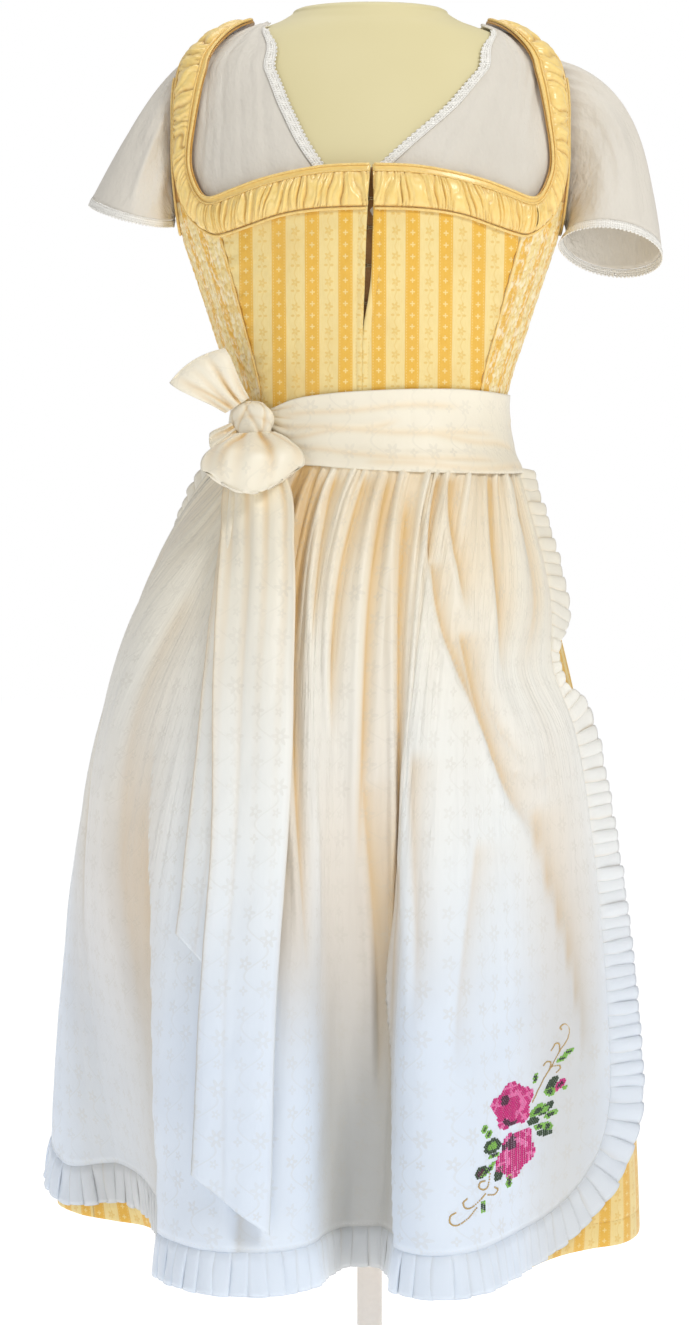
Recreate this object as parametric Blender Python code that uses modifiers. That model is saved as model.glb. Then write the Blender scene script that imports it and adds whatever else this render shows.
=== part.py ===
"""Dirndl dress, blouse and apron on a dress form.

Metres, +Z up, the front faces -Y. Heights in the tables are measured from the
waistline, up is positive. Angles go round the body in degrees: 0 is the front,
90 the wearer's left (+X), 180 the back. Left and right are the wearer's.
"""
import math

import bmesh
import bpy
import numpy
from mathutils import Matrix, Vector

# ---------------------------------------------------------------- sizes
WAIST_LEVEL = 1.060          # waistline above the floor
BASE_RADIUS = 0.180
BASE_THICKNESS = 0.010
POLE_RADIUS = 0.0125
SEAM = 0.0003                # gap between pieces that are sewn together
WELD = 0.00001

# cloth layers, distance of the inner face from the dress form, and thickness
BLOUSE, BLOUSE_CLOTH = 0.0024, 0.0010
PLACKET, PLACKET_CLOTH = 0.0038, 0.0010
HOOK_LIFT, HOOK_WIRE = 0.0057, 0.0006
BODICE, BODICE_CLOTH = 0.0078, 0.0018
TRIM, TRIM_CLOTH = 0.0110, 0.0012
CORD_RADIUS = 0.0013
SEAM_CORD_RADIUS = 0.0010
BODICE_FACE = BODICE + BODICE_CLOTH + 0.0005   # where cords on the bodice lie
BAND, BAND_CLOTH = 0.0117, 0.0018

# heights from the waistline
BLOUSE_HEM = 0.100
BLOUSE_TOP = 0.386
BODICE_HEM = -0.0283
SKIRT_TOP = -0.028
SKIRT_HEM = -0.788
APRON_TOP = -0.041
RUFFLE_WIDTH = 0.038
APRON_HEM = -0.777 + RUFFLE_WIDTH
APRON_CORNER = 0.120         # radius of the apron's lower corners
SKIRT_CLOTH = 0.0012
APRON_LIFT, APRON_LIFT_TOP = 0.0085, 0.0050   # apron panel above the dress skirt, and at its top
APRON_LIFT_REACH = 0.090
APRON_CLOTH = 0.0012

BODY_COLUMNS = "height half_width front back"
BODY_ROWS = (
    (-0.240, 0.158, 0.110, 0.123),
    (-0.200, 0.163, 0.114, 0.127),
    (-0.120, 0.156, 0.108, 0.121),
    (-0.060, 0.140, 0.100, 0.110),
    (-0.020, 0.128, 0.094, 0.099),
    (0.030, 0.123, 0.092, 0.094),
    (0.060, 0.130, 0.097, 0.098),
    (0.090, 0.140, 0.104, 0.104),
    (0.127, 0.152, 0.115, 0.110),
    (0.160, 0.163, 0.123, 0.116),
    (0.190, 0.173, 0.126, 0.120),
    (0.220, 0.181, 0.124, 0.123),
    (0.255, 0.187, 0.112, 0.124),
    (0.290, 0.188, 0.098, 0.120),
    (0.315, 0.187, 0.089, 0.113),
    (0.335, 0.183, 0.082, 0.103),
    (0.350, 0.176, 0.077, 0.094),
    (0.360, 0.165, 0.073, 0.088),
    (0.370, 0.148, 0.069, 0.081),
    (0.380, 0.124, 0.066, 0.075),
    (0.387, 0.104, 0.063, 0.069),
    (0.392, 0.090, 0.060, 0.064),
    (0.397, 0.0805, 0.058, 0.061),
    (0.4005, 0.0755, 0.0565, 0.059),
    (0.4035, 0.0735, 0.0555, 0.058),
    (0.4055, 0.069, 0.052, 0.055),
)

FORM_SKIPS = (-0.200, 0.127, 0.190, 0.335, 0.380, 0.397)   # rows that the solid form does without

# the dress skirt: where each fold line starts at the waist and ends at the hem
FOLD_COLUMNS = "angle hem_x hem_y"
FOLD_ROWS = (
    (-118, -0.318, 0.090),
    (-108, -0.294, 0.040),
    (-98, -0.256, 0.012),
    (-88, -0.220, -0.012),
    (-80, -0.197, -0.058),
    (-72, -0.186, -0.140),
    (-64, -0.178, -0.225),
    (-56, -0.155, -0.272),
    (-47, -0.122, -0.290),
    (-37, -0.086, -0.282),
    (-29, -0.062, -0.255),
    (-22, -0.051, -0.218),
    (-13, -0.034, -0.182),
    (0, -0.004, -0.172),
    (11, 0.018, -0.188),
    (19, 0.032, -0.235),
    (26, 0.042, -0.282),
    (33, 0.064, -0.302),
    (40, 0.090, -0.285),
    (47, 0.112, -0.246),
    (53, 0.131, -0.203),
    (59, 0.152, -0.160),
    (66, 0.179, -0.122),
    (74, 0.211, -0.095),
    (83, 0.243, -0.076),
    (92, 0.262, -0.042),
    (101, 0.267, 0.005),
    (112, 0.256, 0.085),
    (123, 0.220, 0.130),
    (134, 0.203, 0.200),
    (145, 0.150, 0.212),
    (155, 0.118, 0.268),
    (165, 0.060, 0.248),
    (175, 0.010, 0.290),
    (185, -0.045, 0.252),
    (195, -0.100, 0.280),
    (204, -0.148, 0.230),
    (213, -0.205, 0.228),
    (223, -0.245, 0.178),
    (233, -0.292, 0.145),
)
HEM_CENTRE = (-0.028, 0.0)
HEM_MEAN = (0.285, 0.255, 0.270)       # mean half width, front and back depth
SKIRT_LIFT = 0.0082                    # skirt over the form at the waist seam
FLARE = 2.4                            # how early the skirt swings out
FLARE_SIDES = ((82, 34, -0.5), (-86, 36, 0.8))      # angle, half width, how much more on that side
FOLD_GROWTH = 1.9                      # folds deepen towards the hem

# gathers under the waist seam: number, height of a gather, reach down the skirt
APRON_GATHERS = 20
SKIRT_BACK_GATHERS = 9
GATHER_HEIGHT = 0.0036
GATHER_REACH = 0.110
SKIRT_GATHER_SHARE = 0.6     # the dress skirt's gathers beside the apron's

# neckline trim, from the centre front round the corner and over the shoulder
BAND_COLUMNS = "step inner_angle inner_height outer_angle outer_height"
BAND_ROWS = (
    (0, 0.0, 0.243, 0.0, 0.204),
    (1, 11.8, 0.242, 15.0, 0.203),
    (2, 21.6, 0.238, 27.0, 0.199),
    (3, 32.6, 0.232, 38.5, 0.191),
    (4, 42.9, 0.225, 47.5, 0.186),
    (5, 52.0, 0.220, 54.5, 0.185),
    (6, 57.0, 0.223, 61.5, 0.193),
    (7, 60.0, 0.235, 68.0, 0.207),
    (8, 61.5, 0.250, 71.5, 0.228),
    (9, 60.8, 0.268, 72.5, 0.255),
    (10, 58.9, 0.292, 72.0, 0.290),
    (11, 57.0, 0.318, 73.0, 0.318),
    (12, 57.0, 0.346, 75.0, 0.342),
    (13, 64.0, 0.370, 80.0, 0.362),
    (14, 84.0, 0.384, 92.0, 0.3725),
    (15, 108.0, 0.381, 105.0, 0.364),
    (16, 124.0, 0.362, 113.0, 0.346),
    (17, 133.0, 0.336, 119.0, 0.324),
    (18, 137.0, 0.303, 122.0, 0.303),
)
BAND_CORNER = 5.4            # step where the front trim meets the strap trim
STRAP_FOOT = 0.2200          # strap sewn to the side panel
STRAP_BACK = 0.303           # strap sewn to the back
STRAP_START = 53.6           # angle of the inner corner of the neckline
FRONT_SEAM = 52.0            # angle of the seam between front and side panel
BACK_SEAM = 125.0

# bodice armhole, an ellipse round 90 degrees
ARMHOLE_HEIGHT, ARMHOLE_RISE, ARMHOLE_SPAN = 0.280, 0.083, 14.7
ARMHOLE_CORD_RISE, ARMHOLE_CORD_SPAN = 0.0045, 1.4     # piping outside the armhole's edge
SLEEVE_HEIGHT, SLEEVE_RISE, SLEEVE_SPAN = 0.282, 0.074, 12.6

# front edges of the bodice, x at each height: the slit stands open over the hooks
SLIT_COLUMNS = "height right_edge left_edge"
SLIT_ROWS = (
    (-0.028, -0.00845, -0.00815),
    (0.034, -0.0083, -0.0080),
    (0.095, -0.0078, -0.0070),
    (0.140, -0.0062, -0.0004),
    (0.180, -0.0050, 0.0012),
    (0.210, -0.0035, 0.0020),
    (0.243, -0.0010, 0.0014),
)
HOOK_HEIGHTS = (0.098, 0.120, 0.154, 0.188, 0.214)

# blouse neckline, the angle of its edge at each height
V_COLUMNS = "height right_edge left_edge"
V_ROWS = (
    (0.100, -8.0, -7.9),
    (0.190, -8.55, -8.45),
    (0.200, -8.6, -8.5),
    (0.214, -10.0, -5.0),
    (0.243, -16.3, 4.5),
    (0.269, -21.5, 13.0),
    (0.300, -26.4, 24.0),
    (0.337, -32.5, 36.0),
    (0.370, -42.0, 52.0),
    (0.386, -62.0, 80.0),
)

# waistband of the apron, drawn together at the knot on the wearer's right
KNOT_ANGLE = -51.0
SASH_COLUMNS = "angle top bottom"
SASH_ROWS = (
    (-48, 0.019, -0.002),
    (-43, 0.0225, -0.012),
    (-35, 0.029, -0.026),
    (-17, 0.036, -0.033),
    (0, 0.039, -0.036),
    (35, 0.041, -0.0400),
    (80, 0.036, -0.0420),
    (105, 0.036, -0.0385),
    (180, 0.036, -0.0355),
    (250, 0.036, -0.0355),
    (272, 0.035, -0.034),
    (290, 0.030, -0.022),
    (305, 0.019, -0.002),
)

SASH_FOLDS, SASH_FOLD = 2, 0.0012      # lengthwise folds and their height


class Table:
    """Rows of named columns, read between the rows along a smooth curve."""

    def __init__(self, columns, rows, period=None):
        names = columns.split()
        values = numpy.array(rows, dtype=float)
        if period:
            before, after = values[-4:].copy(), values[:4].copy()
            before[:, 0] -= period
            after[:, 0] += period
            values = numpy.vstack((before, values, after))
        self.keys = values[:, 0]
        self.columns = {name: values[:, index] for index, name in enumerate(names)}
        self.slopes = {name: numpy.gradient(column, self.keys)
                       for name, column in self.columns.items()}

    def at(self, name, key):
        keys, column, slopes = self.keys, self.columns[name], self.slopes[name]
        key = min(max(key, keys[0]), keys[-1])
        low = min(int(numpy.searchsorted(keys, key, side="right")) - 1, len(keys) - 2)
        span = keys[low + 1] - keys[low]
        t = (key - keys[low]) / span
        return float((1 + 2 * t) * (1 - t) ** 2 * column[low] + t * (1 - t) ** 2 * span * slopes[low]
                     + t * t * (3 - 2 * t) * column[low + 1] + t * t * (t - 1) * span * slopes[low + 1])


BODY = Table(BODY_COLUMNS, BODY_ROWS)
FOLDS = Table(FOLD_COLUMNS, FOLD_ROWS, period=360)
TRIM_PATH = Table(BAND_COLUMNS, BAND_ROWS)
SLIT = Table(SLIT_COLUMNS, SLIT_ROWS)
BLOUSE_V = Table(V_COLUMNS, V_ROWS)
SASH = Table(SASH_COLUMNS, SASH_ROWS)


# ---------------------------------------------------------------- surfaces
def body_surface(height, angle):
    turn = math.radians(angle)
    side = "front" if math.cos(turn) > 0 else "back"
    return Vector((BODY.at("half_width", height) * math.sin(turn),
                   -BODY.at(side, height) * math.cos(turn), WAIST_LEVEL + height))


def flare_at(angle):
    away = [((angle - place + 180) % 360 - 180) / half for place, half, more in FLARE_SIDES]
    return FLARE + sum(side[2] * math.exp(-here * here) for side, here in zip(FLARE_SIDES, away))


def skirt_surface(height, angle):
    """From the waist seam each fold line swings out to its own place in the hem."""
    depth = max((SKIRT_TOP - height) / (SKIRT_TOP - SKIRT_HEM), 0.0)
    waist = lifted(body_surface, SKIRT_TOP, angle, SKIRT_LIFT)
    wrapped = (angle + 118) % 360 - 118
    arm = Vector((FOLDS.at("hem_x", wrapped) - HEM_CENTRE[0], FOLDS.at("hem_y", wrapped) - HEM_CENTRE[1]))
    reach, ray = arm.length, arm.normalized()
    mean = 1 / math.hypot(ray.x / HEM_MEAN[0], ray.y / (HEM_MEAN[1] if ray.y < 0 else HEM_MEAN[2]))
    swing = 1 - (1 - min(depth, 1.0)) ** flare_at(angle)
    fold = (reach - mean) * depth ** FOLD_GROWTH
    return Vector((waist.x * (1 - swing) + (HEM_CENTRE[0] + ray.x * mean) * swing + ray.x * fold,
                   waist.y * (1 - swing) + (HEM_CENTRE[1] + ray.y * mean) * swing + ray.y * fold,
                   WAIST_LEVEL + height))


def outward(surface, height, angle):
    across = surface(height, angle + 0.5) - surface(height, angle - 0.5)
    up = surface(height + 0.001, angle) - surface(height - 0.001, angle)
    return across.cross(up).normalized()


def lifted(surface, height, angle, lift):
    return surface(height, angle) + outward(surface, height, angle) * lift


def gather(phase, height):
    """Height of the gathers at a place between two of them, dying away downwards."""
    return GATHER_HEIGHT * math.cos(2 * math.pi * phase) * math.exp((height - SKIRT_TOP) / GATHER_REACH)


def mix(start, end, share):
    return start + (end - start) * share


def spread(start, end, count):
    return [float(value) for value in numpy.linspace(start, end, count)]


def angle_at_x(height, x, lift):
    """Angle on the front of the skirt whose x is the given one."""
    low, high = -64.0, 20.0
    for _ in range(30):
        middle = (low + high) / 2
        if lifted(skirt_surface, height, middle, lift).x < x:
            low = middle
        else:
            high = middle
    return (low + high) / 2


# ---------------------------------------------------------------- making pieces
collection = bpy.data.collections.new("dirndl_dress_on_dress_form")


def clear_scene():
    for old in list(bpy.data.objects):
        bpy.data.objects.remove(old, do_unlink=True)
    bpy.context.scene.collection.children.link(collection)


def make_material(name, colour, roughness, metallic=0.0):
    material = bpy.data.materials.new(name)
    material.use_nodes = True
    shader = material.node_tree.nodes["Principled BSDF"]
    shader.inputs["Base Color"].default_value = (*colour, 1.0)
    shader.inputs["Roughness"].default_value = roughness
    shader.inputs["Metallic"].default_value = metallic
    return material


def add_object(name, mesh, material):
    piece = bpy.data.objects.new(name, mesh)
    mesh.materials.append(material)
    mesh.shade_smooth()
    collection.objects.link(piece)
    return piece


def cloth(name, material, columns, rows, place, thickness):
    """A wall of cloth: a grid laid on a surface and made thick on its outer side."""
    shell = bmesh.new()
    bmesh.ops.create_grid(shell, x_segments=len(columns) - 1, y_segments=len(rows) - 1, size=1)
    shell.verts.ensure_lookup_table()
    for index, vert in enumerate(shell.verts):
        row, column = divmod(index, len(columns))
        vert.co = place(columns[column], rows[row])
    bmesh.ops.remove_doubles(shell, verts=shell.verts, dist=WELD)
    mesh = bpy.data.meshes.new(name)
    shell.to_mesh(mesh)
    shell.free()
    piece = add_object(name, mesh, material)
    wall = piece.modifiers.new("cloth", "SOLIDIFY")
    wall.thickness = thickness
    wall.offset = 1.0
    return piece


def cord(name, material, points, radius):
    """A round cord along the given points."""
    curve = bpy.data.curves.new(name, "CURVE")
    curve.dimensions = "3D"
    curve.bevel_depth = radius
    curve.bevel_resolution = 0
    curve.use_fill_caps = True
    spline = curve.splines.new("POLY")
    spline.points.add(len(points) - 1)
    for spot, point in zip(spline.points, points):
        spot.co = (*point, 1.0)
    curve.materials.append(material)
    piece = bpy.data.objects.new(name, curve)
    collection.objects.link(piece)
    return piece


def turned(name, material, radius, low, high, sides, bevel):
    """A round plate or pole standing on the Z axis."""
    solid = bmesh.new()
    bmesh.ops.create_cone(solid, cap_ends=True, segments=sides, radius1=radius, radius2=radius,
                          depth=high - low)
    bmesh.ops.translate(solid, verts=solid.verts, vec=(0, 0, (low + high) / 2))
    mesh = bpy.data.meshes.new(name)
    solid.to_mesh(mesh)
    solid.free()
    piece = add_object(name, mesh, material)
    if bevel:
        edge = piece.modifiers.new("edge", "BEVEL")
        edge.width = bevel
        edge.segments = 1
        edge.limit_method = "ANGLE"
    return piece


# ---------------------------------------------------------------- dress form
def add_dress_form(linen, metal):
    solid = bmesh.new()
    angles = spread(-180, 180, 25)
    heights = [row[0] for row in BODY_ROWS if row[0] not in FORM_SKIPS]
    bmesh.ops.create_grid(solid, x_segments=len(angles) - 1, y_segments=len(heights) - 1, size=1)
    solid.verts.ensure_lookup_table()
    for index, vert in enumerate(solid.verts):
        row, column = divmod(index, len(angles))
        vert.co = body_surface(heights[row], angles[column])
    bmesh.ops.remove_doubles(solid, verts=solid.verts, dist=WELD)
    bmesh.ops.holes_fill(solid, edges=[edge for edge in solid.edges if edge.is_boundary], sides=0)
    mesh = bpy.data.meshes.new("form_torso")
    solid.to_mesh(mesh)
    solid.free()
    add_object("form_torso", mesh, linen)
    foot = WAIST_LEVEL + BODY_ROWS[0][0]
    turned("form_pole", metal, POLE_RADIUS, BASE_THICKNESS + SEAM, foot - SEAM, 16, 0)
    turned("form_base", metal, BASE_RADIUS, 0.0, BASE_THICKNESS, 40, 0.002)


# ---------------------------------------------------------------- blouse
def sleeve_edge(height):
    """Half the angle that the blouse's armhole takes out at a height."""
    share = (height - SLEEVE_HEIGHT) / SLEEVE_RISE
    return SLEEVE_SPAN * math.sqrt(max(1 - share * share, 0.0))


BLOUSE_HEIGHTS = (0.100, 0.155, 0.208, 0.215, 0.240, 0.282, 0.322,
                  0.346, 0.3555, 0.369, 0.379, BLOUSE_TOP)


def add_blouse(cotton, lace):
    gap_angle = 0.06

    def front(side):
        edge = "left_edge" if side > 0 else "right_edge"

        def place(share, height):
            inner = BLOUSE_V.at(edge, height) + side * gap_angle
            outer = side * (90 - sleeve_edge(height) - gap_angle)
            angle = mix(inner, outer, share) if side > 0 else mix(outer, inner, share)
            return lifted(body_surface, height, angle, BLOUSE)
        return place

    def back(share, height):
        start = 90 + sleeve_edge(height) + gap_angle
        return lifted(body_surface, height, mix(start, 360 - start, share), BLOUSE)

    cloth("blouse_front_left", cotton, spread(0, 1, 8), BLOUSE_HEIGHTS, front(1), BLOUSE_CLOTH)
    cloth("blouse_front_right", cotton, spread(0, 1, 8), BLOUSE_HEIGHTS, front(-1), BLOUSE_CLOTH)
    cloth("blouse_back", cotton, spread(0, 1, 13), BLOUSE_HEIGHTS, back, BLOUSE_CLOTH)
    for side, name in ((1, "left"), (-1, "right")):
        add_neck_lace("blouse_lace_neck_" + name, lace, side)
        add_sleeve(name, cotton, lace, side)


def add_neck_lace(name, lace, side):
    """Narrow edging that stands past the edge of the V."""
    edge = "left_edge" if side > 0 else "right_edge"
    width_angle = 3.4

    def place(share, height):
        start = BLOUSE_V.at(edge, height) - side * 0.15
        angle = mix(start - side * width_angle, start, share) if side > 0 else \
            mix(start, start + width_angle, share)
        return lifted(body_surface, height, angle, BLOUSE)
    heights = [height for height in BLOUSE_HEIGHTS if 0.239 < height < 0.380]
    cloth(name, lace, spread(0, 1, 2), heights, place, BLOUSE_CLOTH)


# cuff ring of each sleeve: centre, half width outwards, half depth to the front
SLEEVES = {
    "left": {"centre": (0.2360, 0.004, 0.1800), "out": (0.0480, 0.0, -0.004),
             "front": (-0.008, -0.064, 0.0200), "shoulder": (0.040, 0.0, 0.076), "belly": 0.010},
    "right": {"centre": (-0.2300, 0.004, 0.2160), "out": (-0.0400, 0.0, 0.010),
              "front": (0.004, -0.060, -0.0110), "shoulder": (0.016, 0.0, 0.052), "belly": 0.004},
}
CUFF_LACE = 0.007


def add_sleeve(name, cotton, lace, side):
    """From the armhole the cloth runs out over the shoulder and down to the cuff."""
    form = SLEEVES[name]
    centre = Vector(form["centre"]) + Vector((0, 0, WAIST_LEVEL))
    out, front, shoulder = (Vector(form[key]) for key in ("out", "front", "shoulder"))

    def place(turn, share):
        """turn: 0 at the top, 90 at the front, 180 underneath; share: 0 armhole, 1 cuff."""
        around = math.radians(turn)
        height = SLEEVE_HEIGHT + (SLEEVE_RISE - 0.0006) * math.cos(around)
        angle = side * (90 - (SLEEVE_SPAN - 0.25) * math.sin(around))
        start = lifted(body_surface, height, angle, BLOUSE + 0.0018)
        cuff = centre + out * math.cos(around) + front * math.sin(around)
        top = (1 + math.cos(around)) / 2
        bend = mix(start, cuff, 0.5) + shoulder * top + out.normalized() * form["belly"] * (1 - top)
        return start * (1 - share) ** 2 + bend * 2 * share * (1 - share) + cuff * share ** 2

    def lace_place(turn, share):
        rim, before = place(turn, 1.0), place(turn, 0.93)
        return rim + (rim - before).normalized() * (SEAM + CUFF_LACE * share)

    turns = spread(0, 360, 21) if side < 0 else spread(360, 0, 21)
    cloth("blouse_sleeve_" + name, cotton, turns, spread(0, 1, 6), place, BLOUSE_CLOTH)
    cloth("blouse_lace_cuff_" + name, lace, turns, (0.0, 1.0), lace_place, BLOUSE_CLOTH)


# ---------------------------------------------------------------- bodice
def armhole_edge(height):
    share = (height - ARMHOLE_HEIGHT) / ARMHOLE_RISE
    return ARMHOLE_SPAN * math.sqrt(max(1 - share * share, 0.0))


def neckline(angle):
    """Height of the front neckline."""
    angles = [row[1] for row in BAND_ROWS[:7]]
    heights = [row[2] for row in BAND_ROWS[:7]]
    return float(numpy.interp(abs(angle), angles, heights))


def side_top(angle):
    """Top edge of a side panel: neckline, foot of the strap, armhole, foot at the back."""
    if angle < STRAP_START:
        return mix(neckline(FRONT_SEAM), STRAP_FOOT, (angle - FRONT_SEAM) / (STRAP_START - FRONT_SEAM))
    share = (90 - angle) / ARMHOLE_SPAN
    if abs(share) < 1:
        low = ARMHOLE_HEIGHT - ARMHOLE_RISE * math.sqrt(1 - share * share)
        return min(low, STRAP_FOOT if angle < 90 else STRAP_BACK)
    return STRAP_FOOT if angle < 90 else STRAP_BACK


def slit_angle(edge, height):
    return math.degrees(math.asin(SLIT.at(edge, height) / BODY.at("half_width", height)))


def add_bodice(brocade, dark):
    rows = spread(0, 1, 9)
    seam_gap = 0.055

    def front(side):
        edge = "left_edge" if side > 0 else "right_edge"

        def place(share, rise):
            """share runs from the centre front to the side seam, rise from hem to neckline."""
            height = mix(BODICE_HEM, neckline(share * FRONT_SEAM), rise)
            angle = mix(slit_angle(edge, height), side * (FRONT_SEAM - seam_gap), share)
            return lifted(body_surface, height, angle, BODICE)
        return place

    shares = spread(0, 1, 8)
    cloth("bodice_front_left", brocade, shares, rows, front(1), BODICE_CLOTH)
    cloth("bodice_front_right", brocade, shares[::-1], rows, front(-1), BODICE_CLOTH)

    def side_panel(side):
        def place(angle, rise):
            height = mix(BODICE_HEM, side_top(angle), rise)
            return lifted(body_surface, height, side * angle, BODICE)
        return place

    angles = [FRONT_SEAM + seam_gap, 57, 65, 72, 79, 84, 90, 97, 102, 104.2, 104.7,
              114, BACK_SEAM - seam_gap]
    cloth("bodice_side_left", brocade, angles, rows, side_panel(1), BODICE_CLOTH)
    cloth("bodice_side_right", brocade, angles[::-1], rows, side_panel(-1), BODICE_CLOTH)

    def back(angle, rise):
        away = abs(angle - 180)
        top = mix(0.285, STRAP_BACK, min(away / 42, 1.0) ** 2)
        return lifted(body_surface, mix(BODICE_HEM, top, rise), angle, BODICE)

    cloth("bodice_back", brocade, spread(BACK_SEAM + seam_gap, 360 - BACK_SEAM - seam_gap, 11),
          rows, back, BODICE_CLOTH)

    def placket(share, height):
        middle = (SLIT.at("left_edge", height) + SLIT.at("right_edge", height)) / 2
        x = middle + mix(-0.010, 0.010, share)
        angle = math.degrees(math.asin(x / BODY.at("half_width", height)))
        return lifted(body_surface, height, angle, PLACKET)

    cloth("bodice_placket", dark, (0.0, 1.0), spread(0.040, 0.249, 12), placket, PLACKET_CLOTH)


def add_straps(satin):
    """Straps with their yoke: from the armhole edge to the inner edge of the trim."""
    foot_turn = math.degrees(math.acos((ARMHOLE_HEIGHT - STRAP_FOOT - SEAM) / ARMHOLE_RISE))
    back_turn = 360 - math.degrees(math.acos((ARMHOLE_HEIGHT - STRAP_BACK - SEAM) / ARMHOLE_RISE))

    def strap(side):
        def place(share, along):
            """share runs from the neckline to the armhole, along from the front foot to the back."""
            step = mix(5.3, 18.0, along)
            inner = Vector((TRIM_PATH.at("inner_angle", step), TRIM_PATH.at("inner_height", step) + SEAM))
            turn = math.radians(mix(foot_turn, back_turn, along))
            outer = Vector((90 - ARMHOLE_SPAN * math.sin(turn),
                            ARMHOLE_HEIGHT - ARMHOLE_RISE * math.cos(turn)))
            spot = inner.lerp(outer, share if side > 0 else 1 - share)
            return lifted(body_surface, spot.y, side * spot.x, BODICE)
        return place

    for side, name in ((1, "left"), (-1, "right")):
        cloth("strap_" + name, satin, spread(0, 1, 5), spread(0, 1, 17), strap(side), BODICE_CLOTH)


FRONT_WAVES, STRAP_WAVES = 12, 13      # ruched folds in each length of trim
RUCHE_FOLD, RUCHE_CROWN = 0.0011, 0.0009
RUCHE_INSET = 0.085                    # share of the trim's width that the piping takes
TRIM_END = 17.9
TRIM_CORD = TRIM + 0.0009              # where the cords along the trim lie


def trim_steps(start, end, count):
    return spread(start, end, count + 1)


def trim_spot(step, across, side):
    """Angle and height across the trim: 0 at its neckline edge, 1 at its other edge."""
    angle = mix(TRIM_PATH.at("inner_angle", step), TRIM_PATH.at("outer_angle", step), across)
    height = mix(TRIM_PATH.at("inner_height", step), TRIM_PATH.at("outer_height", step), across)
    if step < 1:
        edge = slit_angle("left_edge" if side > 0 else "right_edge", height)
        first = mix(TRIM_PATH.at("inner_angle", 1), TRIM_PATH.at("outer_angle", 1), across)
        angle = mix(edge * side, first, step)
    return angle, height


def add_trim(satin, piping):
    def ruche(side, steps):
        def place(across, index):
            """index counts half waves along the trim."""
            step = steps[index]
            from_neck = across if side > 0 else 1 - across
            angle, height = trim_spot(step, mix(RUCHE_INSET, 1 - RUCHE_INSET, from_neck), side)
            wave = RUCHE_FOLD * (index % 2) + (RUCHE_CROWN if across == 0.5 else 0.0)
            return lifted(body_surface, height, side * angle, TRIM + wave)
        return place

    front_steps = trim_steps(0.0, BAND_CORNER - 0.04, 2 * FRONT_WAVES)
    strap_steps = trim_steps(BAND_CORNER + 0.04, TRIM_END, 2 * STRAP_WAVES)
    for side, name in ((1, "left"), (-1, "right")):
        # across runs downwards from the neckline, so the columns run from the outer edge
        cloth("ruche_front_" + name, satin, (1.0, 0.5, 0.0), range(len(front_steps)),
              ruche(side, front_steps), TRIM_CLOTH)
        cloth("ruche_strap_" + name, satin, (1.0, 0.5, 0.0), range(len(strap_steps)),
              ruche(side, strap_steps), TRIM_CLOTH)
        for label, across in (("neck", 0.015), ("band", 0.985)):
            points = []
            for step in spread(0.02, TRIM_END, 34):
                angle, height = trim_spot(step, across, side)
                points.append(lifted(body_surface, height, side * angle, TRIM_CORD))
            cord("piping_%s_%s" % (label, name), piping, points, CORD_RADIUS)
        points = []
        for turn in spread(-128, 128, 19):
            around = math.radians(turn)
            height = ARMHOLE_HEIGHT - (ARMHOLE_RISE + ARMHOLE_CORD_RISE) * math.cos(around)
            angle = 90 - (ARMHOLE_SPAN + ARMHOLE_CORD_SPAN) * math.sin(around)
            points.append(lifted(body_surface, height, side * angle, BODICE_FACE + CORD_RADIUS))
        cord("piping_armhole_" + name, piping, points, CORD_RADIUS)
        points = [lifted(body_surface, height, side * FRONT_SEAM, BODICE_FACE + SEAM_CORD_RADIUS)
                  for height in spread(0.044, 0.181, 9)]
        cord("piping_seam_" + name, piping, points, SEAM_CORD_RADIUS)


def add_hooks(metal):
    for number, height in enumerate(HOOK_HEIGHTS, 1):
        middle = (SLIT.at("left_edge", height) + SLIT.at("right_edge", height)) / 2
        half = BODY.at("half_width", height)
        points = []
        for x in (middle - 0.0045, middle, middle + 0.0045):
            angle = math.degrees(math.asin(x / half))
            points.append(lifted(body_surface, height, angle, HOOK_LIFT))
        cord("hook_%d" % number, metal, points, HOOK_WIRE)


# ---------------------------------------------------------------- dress skirt
def add_skirt(brocade):
    drops = (0.0, 0.035, 0.09, 0.18, 0.31, 0.50, 0.74, 1.0)
    heights = [mix(SKIRT_HEM, SKIRT_TOP, 1 - drop) for drop in drops][::-1]
    front_start, front_end = -103.0, 96.0

    def front(angle, height):
        return lifted(skirt_surface, height, angle, 0.0)

    def back(share, height):
        angle = mix(front_end + 0.1, 360 + front_start - 0.1, share)
        fade = min(share, 1 - share, 0.04) / 0.04
        lift = SKIRT_GATHER_SHARE * gather(share * SKIRT_BACK_GATHERS, height) * fade
        return lifted(skirt_surface, height, angle, lift)

    cloth("skirt_front", brocade, spread(front_start, front_end, 32), heights, front, SKIRT_CLOTH)
    cloth("skirt_back", brocade, spread(0, 1, 4 * SKIRT_BACK_GATHERS + 1), heights, back, SKIRT_CLOTH)


# ---------------------------------------------------------------- apron
def apron_angle(share, height):
    """The apron's side edges drift apart down the skirt."""
    depth = max((APRON_TOP - height) / (APRON_TOP - SKIRT_HEM), 0.0)
    return mix(-88 - 40 * depth ** 0.6, 78.0, share)


HEM_RUN = 1.10               # length of the apron's hem
SIDE_PLEATS = 28             # pleats in each side ruffle
PLEAT_HEIGHT, RUFFLE_SPLAY = 0.0050, 0.0020
RUFFLE_SEAM = 0.0009


def apron_bottom(share):
    """Height of the panel's lower edge, with its round corners."""
    run = min(share, 1 - share) * HEM_RUN
    if run >= APRON_CORNER:
        return APRON_HEM
    rise = 1 - run / APRON_CORNER
    return APRON_HEM + APRON_CORNER * (1 - math.sqrt(1 - rise * rise))


def apron_surface(height, share):
    """The panel's face, without its gathers."""
    lift = mix(APRON_LIFT_TOP, APRON_LIFT, min((APRON_TOP - height) / APRON_LIFT_REACH, 1.0))
    return lifted(skirt_surface, height, apron_angle(share, height), lift)


def apron_outward(height, share):
    return outward(skirt_surface, height, apron_angle(share, height))


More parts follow.
